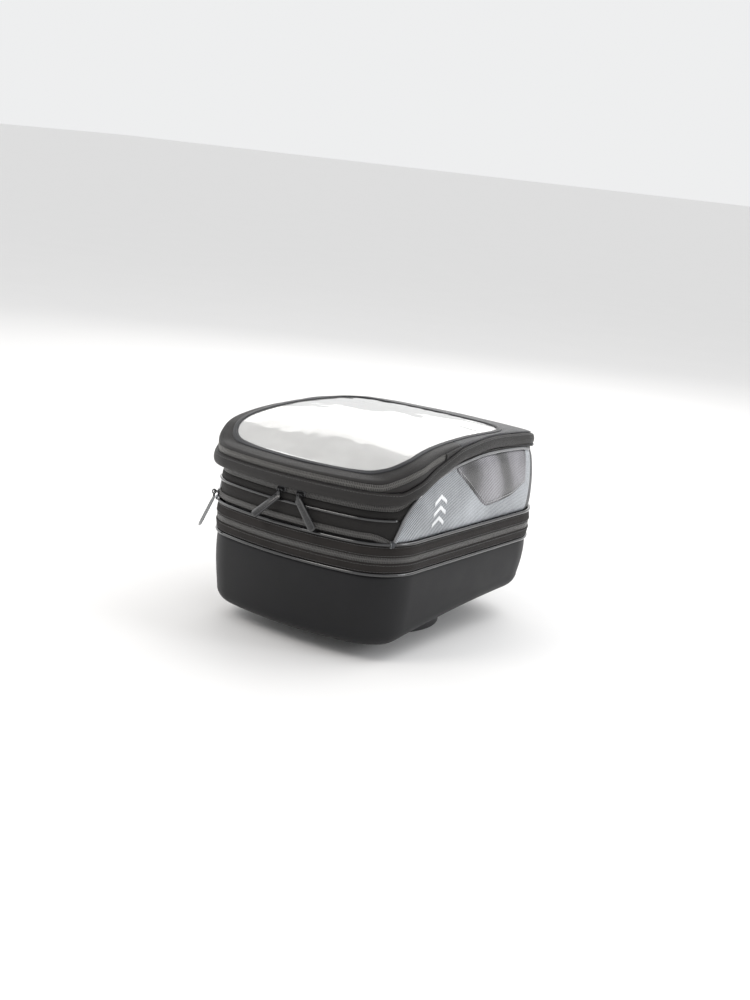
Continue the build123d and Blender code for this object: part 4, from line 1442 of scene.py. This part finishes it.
# ---------------------------------------------------------------- bodies and replaced CAD nodes

RIDES = {
    tub: ("base", ["base_shell"]),
    base_piping: ("base", ["lower_piping"]),
    lower_band: ("base", ["lower_band"]),
    expansion_lower: ("base", ["expansion_zip_lower_chain"]),
    expansion_upper: ("upper", ["expansion_zip_upper_chain"]),
    upper_band: ("upper", ["upper_band"]),
    upper_piping: ("upper", ["upper_piping"]),
    pocket: ("upper", ["pocket_cover"]),
    pocket_piping: ("upper", ["pocket_piping"]),
    pocket_zip: ("upper", ["pocket_zip_chain"]),
    rear_panel: ("upper", ["rear_panel"]),
    front_panel: ("upper", ["front_panel"]),
    foam: ("upper", ["wall_foam"]),
    right_panel: ("upper", ["right_side_panel"]),
    left_panel: ("upper", ["left_side_panel"]),
    right_insert: ("upper", ["right_side_insert"]),
    left_insert: ("upper", ["left_side_insert"]),
    right_piping: ("upper", ["right_side_piping"]),
    left_piping: ("upper", ["left_side_piping"]),
    main_lower: ("upper", ["main_zip_lower_chain"]),
    handle: ("upper", ["carry_handle"]),
    main_upper: ("lid", ["main_zip_upper_chain"]),
    lid_band: ("lid", ["lid_band"]),
    map_lower: ("lid", ["map_zip_lower_chain"]),
    garages: ("lid", ["map_zip_garages"]),
    lid_front: ("lid", ["lid_front_panel"]),
    map_floor: ("lid", ["map_pocket_floor"]),
    lid_lining: ("lid", ["lid_stiffener"]),
    map_upper: ("map_flap", ["map_zip_upper_chain"]),
    flap_skin: ("map_flap", ["map_border"]),
    release: ("lock_latch", ["release_strap"]),
}
for piece, (body, nodes) in RIDES.items():
    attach(piece, body)
    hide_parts(*nodes)
for node, piece in hardware.items():
    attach(piece, node)
    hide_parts(node)

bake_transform(gusset)
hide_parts("expansion_gusset")
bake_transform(window)
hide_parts("window_flap", "window_front")
HINGE_Z = lid_low(np.array([FRONT_Y]))[0] - 5.0
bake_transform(hinge_strip)

for node, material in {
    "lock_housing": NYLON,
    "lock_slider": RED,
    "lock_screws": STEEL,
    "lock_nuts": STEEL,
    "lock_backing_plate": STEEL,
    "base_stiffener": BOARD,
    "latch_springs": SPRING,
}.items():
    for slot in frame["nodes"][node].material_slots:
        slot.material = material

# ---------------------------------------------------------------- floor, light and camera


def stage_floor(name, size, colour, roughness):
    """A wide level floor."""
    across = np.linspace(-size, size, 5)
    points = np.stack([np.repeat(across, 5), np.tile(across, 5), np.zeros(25)], -1)
    n = Nodes(name)
    shade = n.noise(6.0, 3.0)
    colours = n.ramp(shade, (0.3, tint(colour, 0.99)), (0.7, colour))
    return new_object(name, points, grid_faces(5, 5), n.finish(Base_Color=colours, Roughness=roughness))


stage_floor("studio_floor", 30000.0, (0.84, 0.835, 0.83), 0.75)


def softbox(name, location, target, size, power, colour=(1, 1, 1), height=None):
    light = bpy.data.lights.new(name, "AREA")
    light.shape = "RECTANGLE"
    light.size, light.size_y = size, height or size
    light.energy = power
    light.color = colour
    lamp = bpy.data.objects.new(name, light)
    bpy.context.scene.collection.objects.link(lamp)
    lamp.location = location
    lamp.rotation_euler = (Vector(target) - Vector(location)).to_track_quat("-Z", "Y").to_euler()
    lamp.visible_camera = False
    return lamp


softbox("key_softbox", (0.5, 0.9, 1.5), (0, 0, 0.12), 1.3, 12)
softbox("rear_softbox", (-0.6, -1.4, 1.5), (0, 0, 0.1), 0.7, 10, (1.0, 0.96, 0.92))
softbox("right_softbox", (1.6, 0.5, 0.9), (0, 0, 0.12), 0.5, 7, (0.95, 0.97, 1.0))
softbox("left_softbox", (-1.7, -0.5, 0.8), (0, 0, 0.12), 0.9, 3)
softbox("front_softbox", (-0.96, 1.43, 1.15), (0, 0, 0.2), 1.6, 8, (1.0, 0.985, 0.96), 1.25)

world = bpy.data.worlds.new("studio")
bpy.context.scene.world = world
world.use_nodes = True
world.node_tree.nodes["Background"].inputs["Color"].default_value = (0.93, 0.935, 0.94, 1)
world.node_tree.nodes["Background"].inputs["Strength"].default_value = 0.92

AZIMUTH, ELEVATION, ROLL = math.radians(34), math.radians(16.8), math.radians(6)
DISTANCE = 1.65
LENS = 72.0
LOOK_AT = Vector((0, 0, SHELL_LOW * MM))
back = Vector(
    (math.sin(AZIMUTH) * math.cos(ELEVATION), -math.cos(AZIMUTH) * math.cos(ELEVATION), math.sin(ELEVATION))
)
level_right = Vector((math.cos(AZIMUTH), math.sin(AZIMUTH), 0))
level_up = back.cross(level_right)
right = level_right * math.cos(ROLL) + level_up * math.sin(ROLL)
up = level_up * math.cos(ROLL) - level_right * math.sin(ROLL)
lens = bpy.data.cameras.new("photo_camera")
lens.lens = LENS
lens.sensor_width = 36.0
lens.sensor_fit = "HORIZONTAL"
lens.shift_x = 0.005
lens.shift_y = 0.13
camera = bpy.data.objects.new("photo_camera", lens)
bpy.context.scene.collection.objects.link(camera)
rotation = Matrix((right, up, back)).transposed().to_4x4()
camera.matrix_world = Matrix.Translation(LOOK_AT + back * DISTANCE) @ rotation
bpy.context.scene.camera = camera

bpy.context.scene.view_settings.view_transform = "Standard"
